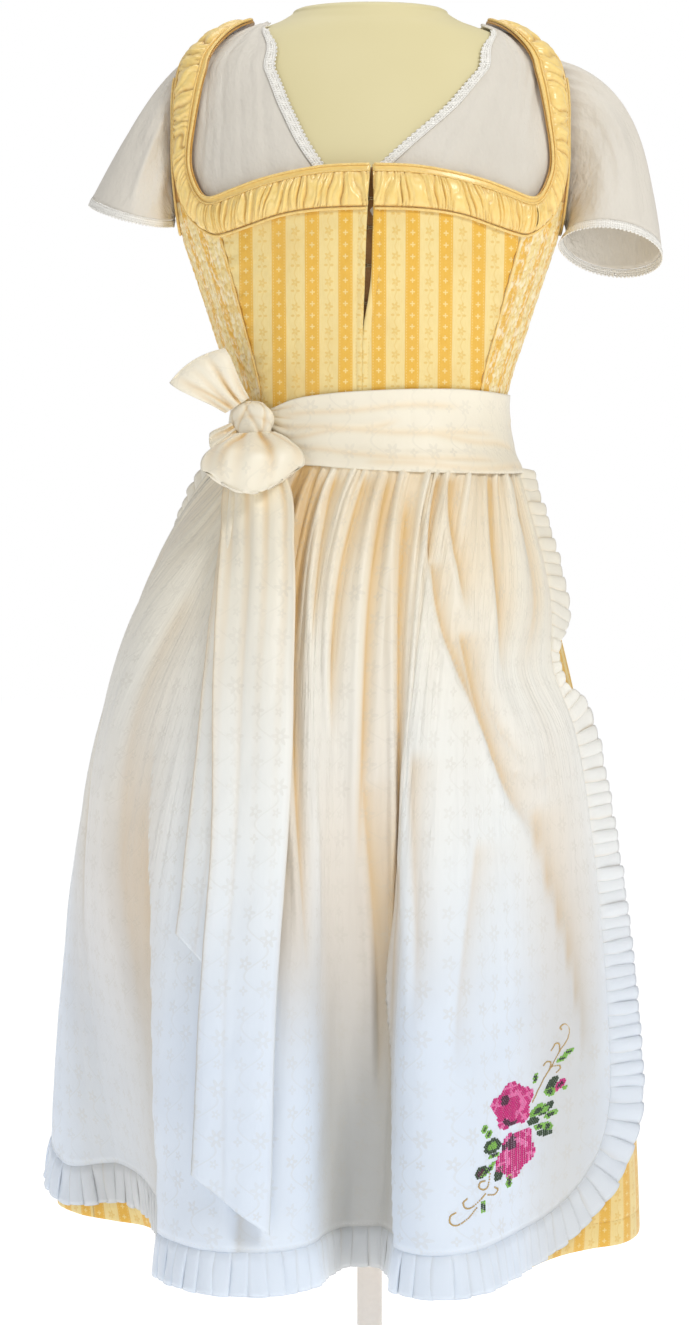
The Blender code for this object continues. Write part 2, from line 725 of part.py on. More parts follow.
def apron_columns():
    """Columns of the panel, closer together round the lower corners."""
    corner = APRON_CORNER / HEM_RUN
    bend = [corner * (1 - math.cos(math.radians(turn))) for turn in spread(0, 90, 5)]
    middle = spread(corner, 1 - corner, 65)
    return bend[:-1] + middle + [1 - value for value in bend[:-1]][::-1]


def add_apron(ivory, ruffle_cloth):
    drops = (0.0, 0.04, 0.10, 0.19, 0.32, 0.50, 0.74, 1.0)

    def panel(share, rise):
        height = mix(apron_bottom(share), APRON_TOP, rise)
        fade = min(share, 1 - share, 0.02) / 0.02
        lift = gather(share * APRON_GATHERS, height) * fade
        return apron_surface(height, share) + apron_outward(height, share) * lift

    cloth("apron_panel", ivory, apron_columns(), [1 - drop for drop in drops][::-1], panel, APRON_CLOTH)

    def ruffle(path):
        def place(index, across):
            """index counts half pleats along the edge, across runs from the seam outwards."""
            height, share = path(index)
            after, before = path(index + 0.05), path(index - 0.05)
            along = (apron_surface(*after) - apron_surface(*before)).normalized()
            face = apron_outward(height, share)
            away = along.cross(face).normalized()
            pleat = PLEAT_HEIGHT * (index % 2) * mix(0.35, 1.0, across)
            return (apron_surface(height, share) + away * (RUFFLE_SEAM + RUFFLE_WIDTH * across)
                    + face * (pleat + RUFFLE_SPLAY * across))
        return place

    corner_height = apron_bottom(0.0)
    hem_columns = apron_columns()

    def right_path(index):
        return mix(APRON_TOP - 0.004, corner_height + 0.0012, index / (2 * SIDE_PLEATS)), 0.0

    def left_path(index):
        return mix(corner_height + 0.0012, APRON_TOP - 0.004, index / (2 * SIDE_PLEATS)), 1.0

    def hem_path(index):
        last = len(hem_columns) - 1
        spot = min(max(index, 0), last)
        share = float(numpy.interp(spot, range(last + 1), hem_columns))
        return apron_bottom(share), share

    rows = (1.0, 0.0)
    side_columns = range(2 * SIDE_PLEATS + 1)
    cloth("apron_ruffle_right", ruffle_cloth, side_columns, rows, ruffle(right_path), APRON_CLOTH)
    cloth("apron_ruffle_hem", ruffle_cloth, range(len(hem_columns)), rows, ruffle(hem_path), APRON_CLOTH)
    cloth("apron_ruffle_left", ruffle_cloth, side_columns, rows, ruffle(left_path), APRON_CLOTH)

    def sash(angle, rise):
        height = mix(SASH.at("bottom", angle), SASH.at("top", angle), rise)
        fold = SASH_FOLD * (0.5 + 0.5 * math.cos(2 * math.pi * SASH_FOLDS * rise))
        return lifted(body_surface, height, angle, BAND + fold)

    cloth("apron_waistband", ivory, spread(-48, 305, 35), spread(0, 1, 5), sash, BAND_CLOTH)


# ---------------------------------------------------------------- bow
KNOT_HEIGHT = 0.006
KNOT_LIFT = 0.0261           # middle of the knot above the dress form's waist
KNOT_SIZE = (0.0215, 0.0120, 0.0205)   # half width, half depth, half height
KNOT_TURN = -38
TIE_CLOTH = 0.0012

# each loop: place of its root from the knot, run to its end, side to side at the end
LOOPS = {
    "upper": {"root": (-0.0128, -0.0032, 0.0144), "run": (-0.040, -0.006, 0.040),
              "side": (0.054, 0.0, 0.034), "root_width": 0.42, "swell": 0.012},
    "lower": {"root": (0.0034, -0.0135, -0.0100), "run": (0.000, -0.056, -0.050),
              "side": (0.098, 0.006, 0.004), "root_width": 0.30, "swell": 0.013},
    "side": {"root": (-0.0146, -0.0015, -0.0073), "run": (-0.020, -0.006, -0.018),
             "side": (0.016, -0.008, -0.024), "root_width": 0.5, "swell": 0.005},
}

# edges of the tails, x at each depth; the back tail lies under the front one
TAIL_COLUMNS = "depth front_right front_left back_right back_left"
TAIL_ROWS = (
    (0.018, -0.128, -0.104, -0.130, -0.110),
    (0.055, -0.138, -0.078, -0.137, -0.100),
    (0.120, -0.140, -0.070, -0.143, -0.100),
    (0.250, -0.146, -0.072, -0.156, -0.100),
    (0.400, -0.150, -0.074, -0.174, -0.110),
    (0.520, -0.152, -0.078, -0.184, -0.120),
    (0.722, -0.160, -0.086, -0.190, -0.130),
)
# each tail: its top under the knot, the right and left corner of its slanted end,
# and how far it lies off the apron
TAILS = {
    "front": {"top": -0.0128, "end": (-0.672, -0.722), "top_lift": 0.0080, "lift": 0.0125},
    "back": {"top": -0.0140, "end": (-0.462, -0.512), "top_lift": 0.0045, "lift": 0.0085},
}
TAIL_LIFT_REACH = 0.060


def add_knot(ivory, centre):
    solid = bmesh.new()
    bmesh.ops.create_uvsphere(solid, u_segments=12, v_segments=8, radius=1.0)
    for vert in solid.verts:
        crease = 1 + 0.06 * math.cos(4 * math.atan2(vert.co.z, vert.co.x))
        vert.co = Vector((vert.co.x * KNOT_SIZE[0] * crease, vert.co.y * KNOT_SIZE[1],
                          vert.co.z * KNOT_SIZE[2] * crease))
    bmesh.ops.rotate(solid, verts=solid.verts, cent=(0, 0, 0),
                     matrix=Matrix.Rotation(math.radians(KNOT_TURN), 3, "Z"))
    bmesh.ops.translate(solid, verts=solid.verts, vec=centre)
    mesh = bpy.data.meshes.new("bow_knot")
    solid.to_mesh(mesh)
    solid.free()
    add_object("bow_knot", mesh, ivory)


def add_loop(name, ivory, knot):
    """A flat tie run out to its bend and back to the knot."""
    form = LOOPS[name]
    root = knot + Vector(form["root"])
    run, side = Vector(form["run"]), Vector(form["side"])
    face = run.cross(side).normalized()

    def place(around, across):
        reach = (1 - math.cos(around)) / 2
        width = mix(form["root_width"], 1.0, reach ** 0.8)
        swell = form["swell"] * math.sin(around) * (0.35 + 0.65 * reach)
        return root + run * reach + side * width * (across - 0.5) + face * swell

    turns = [math.radians(turn) for turn in spread(14, 346, 15)]
    cloth("bow_loop_" + name, ivory, turns, spread(0, 1, 4), place, TIE_CLOTH)


def add_tail(name, ivory):
    form = TAILS[name]
    tails = Table(TAIL_COLUMNS, TAIL_ROWS)
    right, left = name + "_right", name + "_left"

    def place(across, drop):
        height = mix(form["top"], mix(form["end"][0], form["end"][1], across), drop)
        fall = min((form["top"] - height) / TAIL_LIFT_REACH, 1.0)
        lift = APRON_LIFT + mix(form["top_lift"], form["lift"], fall)
        x = mix(tails.at(right, -height), tails.at(left, -height), across)
        return lifted(skirt_surface, height, angle_at_x(height, x, lift), lift)

    cloth("bow_tail_" + name, ivory, spread(0, 1, 6), spread(1, 0, 13), place, TIE_CLOTH)


def add_bow(ivory):
    knot = lifted(body_surface, KNOT_HEIGHT, KNOT_ANGLE, KNOT_LIFT)
    add_knot(ivory, knot)
    for name in LOOPS:
        add_loop(name, ivory, knot)
    for name in TAILS:
        add_tail(name, ivory)


# ---------------------------------------------------------------- the whole
def build():
    clear_scene()
    linen = make_material("form_cover", (0.86, 0.82, 0.60), 0.75)
    metal = make_material("white_metal", (0.85, 0.85, 0.84), 0.35)
    steel = make_material("hook_metal", (0.55, 0.48, 0.36), 0.35, 0.9)
    cotton = make_material("white_cotton", (0.86, 0.86, 0.86), 0.85)
    lace = make_material("white_lace", (0.83, 0.83, 0.83), 0.85)
    brocade = make_material("yellow_brocade", (0.87, 0.70, 0.34), 0.50)
    satin = make_material("gold_satin", (0.82, 0.58, 0.20), 0.38)
    piping = make_material("pale_piping", (0.88, 0.70, 0.36), 0.45)
    dark = make_material("dark_gold", (0.40, 0.26, 0.08), 0.60)
    ivory = make_material("ivory_jacquard", (0.90, 0.88, 0.82), 0.50)
    ruffle_cloth = make_material("ivory_taffeta", (0.90, 0.90, 0.88), 0.55)
    add_dress_form(linen, metal)
    add_blouse(cotton, lace)
    add_bodice(brocade, dark)
    add_straps(satin)
    add_trim(satin, piping)
    add_hooks(steel)
    add_skirt(brocade)
    add_apron(ivory, ruffle_cloth)
    add_bow(ivory)


build()
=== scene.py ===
import math

import bmesh
import bpy
import numpy as np
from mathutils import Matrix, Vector


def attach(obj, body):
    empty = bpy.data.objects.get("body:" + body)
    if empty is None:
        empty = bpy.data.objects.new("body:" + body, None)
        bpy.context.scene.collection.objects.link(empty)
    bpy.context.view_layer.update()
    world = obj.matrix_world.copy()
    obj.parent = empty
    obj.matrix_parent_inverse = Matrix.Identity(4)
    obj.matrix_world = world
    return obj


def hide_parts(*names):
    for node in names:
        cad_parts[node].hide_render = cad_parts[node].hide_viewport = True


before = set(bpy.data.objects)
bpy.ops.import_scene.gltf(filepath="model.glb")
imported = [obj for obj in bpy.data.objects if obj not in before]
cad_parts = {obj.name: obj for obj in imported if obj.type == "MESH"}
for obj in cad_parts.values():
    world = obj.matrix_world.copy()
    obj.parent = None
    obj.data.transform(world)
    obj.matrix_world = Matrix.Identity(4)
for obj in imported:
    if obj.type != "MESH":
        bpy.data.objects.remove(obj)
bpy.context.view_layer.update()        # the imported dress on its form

# Dirndl with blouse and apron. Left and right are the wearer's, the front faces -Y.
# Angles go round the body in degrees: 0 front, 90 the wearer's left, 180 back.
# Heights in the tables are measured from the waistline.

waist = {"level": 1.060, "skirtTop": -0.028, "skirtHem": -0.788, "skirtLift": 0.0082}
skirtLength = waist["skirtTop"] - waist["skirtHem"]
sides = ((1, "left"), (-1, "right"))

layers = {                       # distance of the inner face from the form, and thickness
    "blouse": (0.0024, 0.0010), "placket": (0.0038, 0.0010), "bodice": (0.0078, 0.0018),
    "trim": (0.0110, 0.0009), "band": (0.0117, 0.0018),
}
thin = {"lace": 0.0008, "taffeta": 0.0009, "tie": 0.0011}       # thicknesses


class Table:
    # rows of named columns, read between the rows along a smooth curve
    def __init__(self, columns, rows, period=None):
        values = np.array(rows, dtype=float)
        if period:
            before, after = values[-4:].copy(), values[:4].copy()
            before[:, 0] -= period
            after[:, 0] += period
            values = np.vstack((before, values, after))
        self.keys = values[:, 0]
        self.columns = dict(zip(columns.split(), values.T))
        self.slopes = {name: np.gradient(column, self.keys) for name, column in self.columns.items()}

    def at(self, name, key):
        keys, column, slopes = self.keys, self.columns[name], self.slopes[name]
        key = np.clip(np.asarray(key, dtype=float), keys[0], keys[-1])
        low = np.clip(np.searchsorted(keys, key, side="right") - 1, 0, len(keys) - 2)
        span = keys[low + 1] - keys[low]
        t = (key - keys[low]) / span
        return ((1 + 2 * t) * (1 - t) ** 2 * column[low] + t * (1 - t) ** 2 * span * slopes[low]
                + t * t * (3 - 2 * t) * column[low + 1] + t * t * (t - 1) * span * slopes[low + 1])


bodyTable = Table("height halfWidth front back", (
    (-0.240, 0.158, 0.110, 0.123), (-0.200, 0.163, 0.114, 0.127), (-0.120, 0.156, 0.108, 0.121),
    (-0.060, 0.140, 0.100, 0.110), (-0.020, 0.128, 0.094, 0.099), (0.030, 0.123, 0.092, 0.094),
    (0.060, 0.130, 0.097, 0.098), (0.090, 0.140, 0.104, 0.104), (0.127, 0.152, 0.115, 0.110),
    (0.160, 0.163, 0.123, 0.116), (0.190, 0.173, 0.126, 0.120), (0.220, 0.181, 0.124, 0.123),
    (0.255, 0.187, 0.112, 0.124), (0.290, 0.188, 0.098, 0.120), (0.315, 0.187, 0.089, 0.113),
    (0.335, 0.183, 0.082, 0.103), (0.350, 0.176, 0.077, 0.094), (0.360, 0.165, 0.073, 0.088),
    (0.370, 0.148, 0.069, 0.081), (0.380, 0.124, 0.066, 0.075), (0.387, 0.104, 0.063, 0.069),
    (0.392, 0.090, 0.060, 0.064), (0.397, 0.0805, 0.058, 0.061), (0.4005, 0.0755, 0.0565, 0.059),
    (0.4035, 0.0735, 0.0555, 0.058), (0.4055, 0.069, 0.052, 0.055),))

foldTable = Table("angle hemX hemY", (      # where each fold line of the skirt ends at the hem
    (-118, -0.318, 0.090), (-108, -0.294, 0.040), (-98, -0.256, 0.012), (-88, -0.220, -0.012),
    (-80, -0.197, -0.058), (-72, -0.186, -0.140), (-64, -0.178, -0.225), (-56, -0.155, -0.272),
    (-47, -0.122, -0.290), (-37, -0.086, -0.282), (-29, -0.062, -0.255), (-22, -0.051, -0.218),
    (-13, -0.034, -0.182), (0, -0.004, -0.172), (11, 0.018, -0.188), (19, 0.032, -0.235),
    (26, 0.042, -0.282), (33, 0.064, -0.302), (40, 0.090, -0.285), (47, 0.112, -0.246),
    (53, 0.131, -0.203), (59, 0.152, -0.160), (66, 0.179, -0.122), (74, 0.211, -0.095),
    (83, 0.243, -0.076), (92, 0.262, -0.042), (101, 0.267, 0.005), (112, 0.256, 0.085),
    (123, 0.220, 0.130), (134, 0.203, 0.200), (145, 0.150, 0.212), (155, 0.118, 0.268),
    (165, 0.060, 0.248), (175, 0.010, 0.290), (185, -0.045, 0.252), (195, -0.100, 0.280),
    (204, -0.148, 0.230), (213, -0.205, 0.228), (223, -0.245, 0.178), (233, -0.292, 0.145),), period=360)

trimTable = Table("step innerAngle innerHeight outerAngle outerHeight", (
    (0, 0.0, 0.243, 0.0, 0.204), (1, 11.8, 0.242, 15.0, 0.203), (2, 21.6, 0.238, 27.0, 0.199),
    (3, 32.6, 0.232, 38.5, 0.191), (4, 42.9, 0.225, 47.5, 0.186), (5, 52.0, 0.220, 54.5, 0.185),
    (6, 57.0, 0.223, 61.5, 0.193), (7, 60.0, 0.235, 68.0, 0.207), (8, 61.5, 0.250, 71.5, 0.228),
    (9, 60.8, 0.268, 72.5, 0.255), (10, 58.9, 0.292, 72.0, 0.290), (11, 57.0, 0.318, 73.0, 0.318),
    (12, 57.0, 0.346, 75.0, 0.342), (13, 64.0, 0.370, 80.0, 0.362), (14, 84.0, 0.384, 92.0, 0.3725),
    (15, 108.0, 0.381, 105.0, 0.364), (16, 124.0, 0.362, 113.0, 0.346),
    (17, 133.0, 0.336, 119.0, 0.324), (18, 137.0, 0.303, 122.0, 0.303),))

slitTable = Table("height rightEdge leftEdge", (
    (-0.028, -0.00845, -0.00815), (0.034, -0.0083, -0.0080), (0.095, -0.0078, -0.0070),
    (0.140, -0.0062, -0.0004), (0.180, -0.0050, 0.0012), (0.210, -0.0035, 0.0020),
    (0.243, -0.0010, 0.0014),))

neckTable = Table("height rightEdge leftEdge", (
    (0.100, -8.0, -7.9), (0.190, -8.55, -8.45), (0.200, -8.6, -8.5), (0.214, -10.0, -5.0),
    (0.243, -16.3, 4.5), (0.269, -21.5, 13.0), (0.300, -26.4, 24.0), (0.337, -32.5, 36.0),
    (0.370, -42.0, 52.0), (0.386, -62.0, 80.0),))


# ---- surfaces
def mix(start, end, share):
    return start + (end - start) * share


def smooth(low, high, value):       # 0 below low, 1 above high
    t = np.clip((np.asarray(value, dtype=float) - low) / (high - low), 0, 1)
    return t * t * (3 - 2 * t)


def between(value, rise, risen, fall, fallen):      # comes in, and goes out again
    return smooth(rise, risen, value) * (1 - smooth(fall, fallen, value))


def bell(away, half):
    return np.exp(-(away / half) ** 2)


def joined(*parts):
    return np.stack(np.broadcast_arrays(*parts), -1)


def runAlong(line):     # metres from the first point to each
    return np.concatenate(([0.0], np.cumsum(np.linalg.norm(np.diff(line, axis=0), axis=-1))))


def bodyAt(height, angle):
    turn = np.radians(angle)
    depth = np.where(np.cos(turn) > 0, bodyTable.at("front", height), bodyTable.at("back", height))
    width = bodyTable.at("halfWidth", height)
    return joined(width * np.sin(turn), -depth * np.cos(turn), waist["level"] + height)


def unit(vector):
    return vector / np.maximum(np.linalg.norm(vector, axis=-1, keepdims=True), 1e-9)


def outwardAt(surface, height, angle):
    height, angle = np.broadcast_arrays(np.asarray(height, dtype=float), np.asarray(angle, dtype=float))
    across = surface(height, angle + 0.5) - surface(height, angle - 0.5)
    up = surface(height + 0.001, angle) - surface(height - 0.001, angle)
    return unit(np.cross(across, up))


def liftedAt(surface, height, angle, lift):
    height, angle = np.broadcast_arrays(np.asarray(height, dtype=float), np.asarray(angle, dtype=float))
    return surface(height, angle) + outwardAt(surface, height, angle) * np.asarray(lift)[..., None]


drape = {"centreX": -0.028, "centreY": 0.0, "meanX": 0.285, "meanFront": 0.255, "meanBack": 0.270,
         "flare": 2.4, "sides": ((82, 34, -0.5), (-86, 36, 0.8)), "foldGrowth": 1.9}


def flareAt(angle):     # how early the skirt swings out; more or less on either side
    return drape["flare"] + sum(more * bell((angle - place + 180) % 360 - 180, half)
                                for place, half, more in drape["sides"])


def foldRay(angle):     # the way out to the hem, its mean reach, and what the fold adds to that
    wrapped = (angle + 118) % 360 - 118
    armX = foldTable.at("hemX", wrapped) - drape["centreX"]
    armY = foldTable.at("hemY", wrapped) - drape["centreY"]
    reach = np.hypot(armX, armY)
    rayX, rayY = armX / reach, armY / reach
    meanY = np.where(rayY < 0, drape["meanFront"], drape["meanBack"])
    mean = 1 / np.hypot(rayX / drape["meanX"], rayY / meanY)
    return rayX, rayY, mean, reach - mean


def skirtAt(height, angle):
    height, angle = np.broadcast_arrays(np.asarray(height, dtype=float), np.asarray(angle, dtype=float))
    depth = np.maximum((waist["skirtTop"] - height) / skirtLength, 0.0)
    seam = liftedAt(bodyAt, waist["skirtTop"], angle, waist["skirtLift"])
    rayX, rayY, mean, added = foldRay(angle)
    swing = 1 - (1 - np.minimum(depth, 1.0)) ** flareAt(angle)
    fold = added * depth ** drape["foldGrowth"]
    return joined(mix(seam[..., 0], drape["centreX"] + rayX * mean, swing) + rayX * fold,
                  mix(seam[..., 1], drape["centreY"] + rayY * mean, swing) + rayY * fold,
                  waist["level"] + height)


def recessShadeAt(height, angle):      # painted shade: 0 on the folds, 1 deep between them, near the hem
    depth = np.clip((waist["skirtTop"] - height) / skirtLength, 0, 1)
    return smooth(0.012, -0.060, foldRay(angle)[3]) * smooth(0.18, 0.75, depth)


def unevenness(u, v, seed, octaves=3):      # crossing waves, about -1 to 1, a unit apart
    total, weight = 0.0, 0.0
    for octave in range(octaves):
        turn = 2.4 * (seed + 3.7 * octave)
        along = u * math.cos(turn) + v * math.sin(turn)
        across = v * math.cos(turn) - u * math.sin(turn)
        pitch = 2 * math.pi * 1.7 ** octave
        part = np.sin(along * pitch + seed * 1.3 + octave * 2.1 + 1.4 * np.sin(across * pitch * 0.6 + seed))
        total = total + part / 1.5 ** octave
        weight += 1 / 1.5 ** octave
    return total / weight


# ---- making pieces
scene = bpy.context.scene
madePieces = []


def selectOnly(*pieces):
    for other in bpy.context.selected_objects:
        other.select_set(False)
    for piece in pieces:
        piece.select_set(True)
        bpy.context.view_layer.objects.active = piece


def linked(name, data):
    piece = bpy.data.objects.new(name, data)
    scene.collection.objects.link(piece)
    return piece


def finishPiece(piece, material, nodes):
    piece.data.materials.clear()
    piece.data.materials.append(materials[material])
    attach(piece, "root")
    if nodes:
        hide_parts(*nodes)
    madePieces.append(piece)
    return piece


def plainMesh(name, points, faces):
    mesh = bpy.data.meshes.new(name)
    mesh.from_pydata(points.reshape(-1, 3).tolist(), [], faces)
    mesh.shade_smooth()
    return mesh


def gridMesh(name, points, cloth, tint=None):
    # points[row, column] run left to right and bottom to top, seen from outside
    rows, columns = points.shape[:2]
    index = np.arange(rows * columns).reshape(rows, columns)
    faces = np.stack((index[:-1, :-1], index[:-1, 1:], index[1:, 1:], index[1:, :-1]), -1).reshape(-1, 4)
    mesh = plainMesh(name, points, faces.tolist())
    mesh.uv_layers.new(name="cloth").data.foreach_set("uv", cloth.reshape(-1, 2)[faces.reshape(-1)].ravel())
    # tint is painted shade for each point, kept in the fold attribute
    if tint is not None:
        shade = mesh.attributes.new("fold", "FLOAT", "POINT")
        shade.data.foreach_set("value", np.ascontiguousarray(tint, dtype=np.float32).ravel())
    return mesh


def mergeDoubles(mesh, fill=False, turn=False):
    work = bmesh.new()
    work.from_mesh(mesh)
    bmesh.ops.remove_doubles(work, verts=work.verts, dist=1e-5)
    if fill:
        bmesh.ops.holes_fill(work, edges=[edge for edge in work.edges if edge.is_boundary], sides=0)
    if turn:
        bmesh.ops.recalc_face_normals(work, faces=work.faces)
    work.to_mesh(mesh)
    work.free()
    mesh.shade_smooth()


def clothPiece(name, points, cloth, thickness, material, nodes,
               tint=None, closed=False, flip=False, flat=None):
    if flip:
        points, cloth, tint = points[:, ::-1], cloth[:, ::-1], None if tint is None else tint[:, ::-1]
    mesh = gridMesh(name, points, cloth, tint)
    if closed:
        mergeDoubles(mesh)
    piece = linked(name, mesh)
    selectOnly(piece)
    wall = piece.modifiers.new("wall", "SOLIDIFY")
    wall.thickness = thickness
    wall.offset = 1.0
    bpy.ops.object.modifier_apply(modifier="wall")
    finishPiece(piece, material, nodes)
    # what shows of the cut piece: its sides laid flat, with its own area
    width = float(np.linalg.norm(np.diff(points, axis=1), axis=-1).sum(1).max())
    length = float(np.linalg.norm(np.diff(points, axis=0), axis=-1).sum(0).mean())
    flat = flat or (max(width, 0.0105), max(length, 0.0105))


def tubeMesh(name, points, radius, sides=8, closed=False):
    points = np.asarray(points, dtype=float)
    count = len(points)
    if closed:
        run = unit(np.roll(points, -1, 0) - np.roll(points, 1, 0))
    else:
        run = unit(np.gradient(points, axis=0))
    side, rings = np.cross(run[0], (0.13, 0.21, 0.97)), []
    turns = np.linspace(0, 2 * math.pi, sides, endpoint=False)
    for place in range(count):
        side = unit(side - run[place] * np.dot(side, run[place]))
        other = np.cross(run[place], side)
        around = np.outer(np.cos(turns), side) + np.outer(np.sin(turns), other)
        rings.append(points[place] + radius * around)
    faces = []
    for ring in range(count if closed else count - 1):
        here, there = ring * sides, ((ring + 1) % count) * sides
        for corner in range(sides):
            after = (corner + 1) % sides
            faces.append((here + corner, here + after, there + after, there + corner))
    if not closed:
        faces += [tuple(range(sides))[::-1], tuple(range((count - 1) * sides, count * sides))]
    return plainMesh(name, np.concatenate(rings), faces)


def cordPiece(name, points, radius, material, nodes):
    finishPiece(linked(name, tubeMesh(name, points, radius)), material, nodes)


# ---- materials
def colour(red, green, blue):       # a screen colour, 0 to 255, made linear
    return tuple((c / 12.92 if c <= 0.04045 else ((c + 0.055) / 1.055) ** 2.4)
                 for c in (red / 255, green / 255, blue / 255)) + (1.0,)


class Nodes:
    # short names for wiring a material
    def __init__(self, name, base, roughness, metallic=0.0, sheen=0.0, specular=0.5):
        self.material = bpy.data.materials.new(name)
        self.material.use_nodes = True
        self.tree = self.material.node_tree
        self.shader = self.tree.nodes["Principled BSDF"]
        for socket, value in (("Base Color", base), ("Roughness", roughness), ("Metallic", metallic),
                              ("Sheen Weight", sheen), ("Specular IOR Level", specular)):
            self.put(self.shader.inputs[socket], value)

    def put(self, socket, value):
        if isinstance(value, bpy.types.NodeSocket):
            self.tree.links.new(value, socket)
        else:
            socket.default_value = colour(*value) if isinstance(value, tuple) else value

    def new(self, kind, output, inputs, **settings):
        node = self.tree.nodes.new("ShaderNode" + kind)
        for name, value in settings.items():
            setattr(node, name, value)
        for name, value in inputs.items():
            self.put(node.inputs[name], value)
        return node.outputs[output]

    def math(self, operation, *values):
        return self.new("Math", 0, dict(enumerate(values if len(values) > 1 else values + (0.0,))),
                        operation=operation)

    def times(self, first, second):
        return self.math("MULTIPLY", first, second)

    def plus(self, first, second):
        return self.math("ADD", first, second)

    def minus(self, first, second):
        return self.math("SUBTRACT", first, second)

    def most(self, first, *others):
        for other in others:
            first = self.math("MAXIMUM", first, other)
        return first

    def size(self, value):
        return self.math("ABSOLUTE", value)

    def scaled(self, value, factor, added):
        return self.math("MULTIPLY_ADD", value, factor, added)

    def away(self, x, y):
        return self.math("SQRT", self.plus(self.times(x, x), self.times(y, y)))

    def step(self, low, high, value):
        return self.new("MapRange", "Result", {"Value": value, "From Min": low, "From Max": high},
                        interpolation_type="SMOOTHSTEP")

    def blend(self, share, first, second):
        return self.new("Mix", 2, {0: share, 6: first, 7: second}, data_type="RGBA")

    def axis(self, vector, number):
        return self.new("SeparateXYZ", number, {0: vector})

    def cloth(self):        # u and v of the piece's own map, in metres
        uv = self.new("UVMap", 0, {}, uv_map="cloth")
        return self.axis(uv, 0), self.axis(uv, 1), uv

    def place(self):
        return self.new("TexCoord", "Object", {})

    # reads the painted shade that a piece keeps in its fold attribute
    def fold(self, strength):
        return self.times(self.new("Attribute", "Fac", {}, attribute_name="fold"), strength)

    def noise(self, vector, scale, detail=3.0, roughness=0.5, stretch=None):
        if stretch:
            vector = self.new("Mapping", 0, {"Vector": vector, "Scale": Vector(stretch + (1.0,))})
        return self.new("TexNoise", "Fac", {"Vector": vector, "Scale": scale, "Detail": detail,
                                            "Roughness": roughness})

    def wave(self, value, pitch):       # 0 to 1 and back over each pitch
        return self.scaled(self.math("SINE", self.times(value, 2 * math.pi / pitch)), 0.5, 0.5)

    def threads(self, u, v, across, along):
        return self.times(self.wave(u, across), self.wave(v, along))

    def part(self, value, pitch, offset=0.0):       # 0 to 1 through each cell
        return self.math("FRACT", self.scaled(value, 1 / pitch, offset + 64.0))

    def cell(self, value, pitch, offset=0.0):       # metres from the middle of each cell
        return self.times(self.minus(self.part(value, pitch, offset), 0.5), pitch)

    def blossom(self, x, y, radius, petals, edge):
        reach = self.away(x, y)
        lobe = self.scaled(self.math("COSINE", self.times(self.math("ARCTAN2", y, x), petals)),
                           0.26 * radius, 0.74 * radius)
        inside = self.step(0.0, edge, self.minus(lobe, reach))
        return self.times(inside, self.step(0.16 * radius, 0.26 * radius, reach))

    def bump(self, height, strength, distance, before=None):
        inputs = {"Strength": strength, "Distance": distance, "Height": height}
        return self.new("Bump", 0, inputs if before is None else inputs | {"Normal": before})

    def done(self, base=None, roughness=None, normal=None):
        for name, value in (("Base Color", base), ("Roughness", roughness), ("Normal", normal)):
            if value is not None:
                self.put(self.shader.inputs[name], value)
        return self.material


def makeFinish(name, light, dark, roughness, grain, bump=None, onCloth=False, **gloss):
    # two tones that follow a fine grain
    nodes = Nodes(name, light, roughness, **gloss)
    fine = nodes.noise(nodes.cloth()[2] if onCloth else nodes.place(), *grain)
    base = nodes.blend(fine, light, dark)
    if bump:
        return nodes.done(base, normal=nodes.bump(fine, *bump))
    return nodes.done(base, nodes.scaled(fine, 0.3, 0.2))


def makeThread(name, light, dark):
    return makeFinish(name, light, dark, 0.38, (1400.0, 2.0), (0.3, 0.0003), sheen=0.2, specular=0.6)


def makeFormCover():
    nodes = Nodes("formCover", (236, 226, 184), 0.62, sheen=0.25, specular=0.35)
    place = nodes.place()
    base = nodes.blend(nodes.noise(place, 6.0, 2.0), (227, 216, 172), (216, 204, 153))
    return nodes.done(base, normal=nodes.bump(nodes.noise(place, 900.0, 2.0), 0.12, 0.0003))


def makeCotton():
    nodes = Nodes("whiteCotton", (236, 232, 224), 0.82, sheen=0.15, specular=0.3)
    u, v, vector = nodes.cloth()
    base = nodes.blend(nodes.noise(vector, 12.0, 3.0), (228, 222, 210), (208, 201, 188))
    soft = nodes.bump(nodes.noise(vector, 30.0, 4.0, 0.62, (1.0, 0.6)), 0.75, 0.0055)
    return nodes.done(base, normal=nodes.bump(nodes.threads(u, v, 0.0009, 0.0009), 0.20, 0.0002, soft))


lace = {"mesh": 0.0026, "hole": (0.0008, 0.0003), "rim": 0.0017}


def makeLace():
    nodes = Nodes("whiteLace", (240, 240, 242), 0.85, sheen=0.1, specular=0.25)
    u, v = nodes.cloth()[:2]
    hole = nodes.step(*lace["hole"], nodes.away(nodes.cell(u, lace["mesh"]), nodes.cell(v, lace["mesh"])))
    base = nodes.blend(hole, (244, 241, 233), (222, 217, 205))
    height = nodes.minus(nodes.times(nodes.wave(v, lace["rim"]), 0.4), hole)
    return nodes.done(base, normal=nodes.bump(height, 0.9, 0.0006))


# the fold colour is painted shade in the hollows of the cloth
brocade = {"pitch": 0.031, "gold": 0.46, "goldEdge": 0.035, "crossPitch": 0.0105, "crossArm": 0.0026,
           "dotPitch": 0.0028, "dotLine": 0.0052, "flowerPitch": 0.0225, "flower": 0.0046, "leaf": 0.0021,
           "goldTones": ((238, 191, 80), (227, 172, 58)), "paleTones": ((243, 222, 160), (235, 208, 134)),
           "figure": (228, 188, 96), "worn": (222, 178, 92), "crinkleHighlight": (250, 238, 204),
           "fold": (198, 146, 62)}


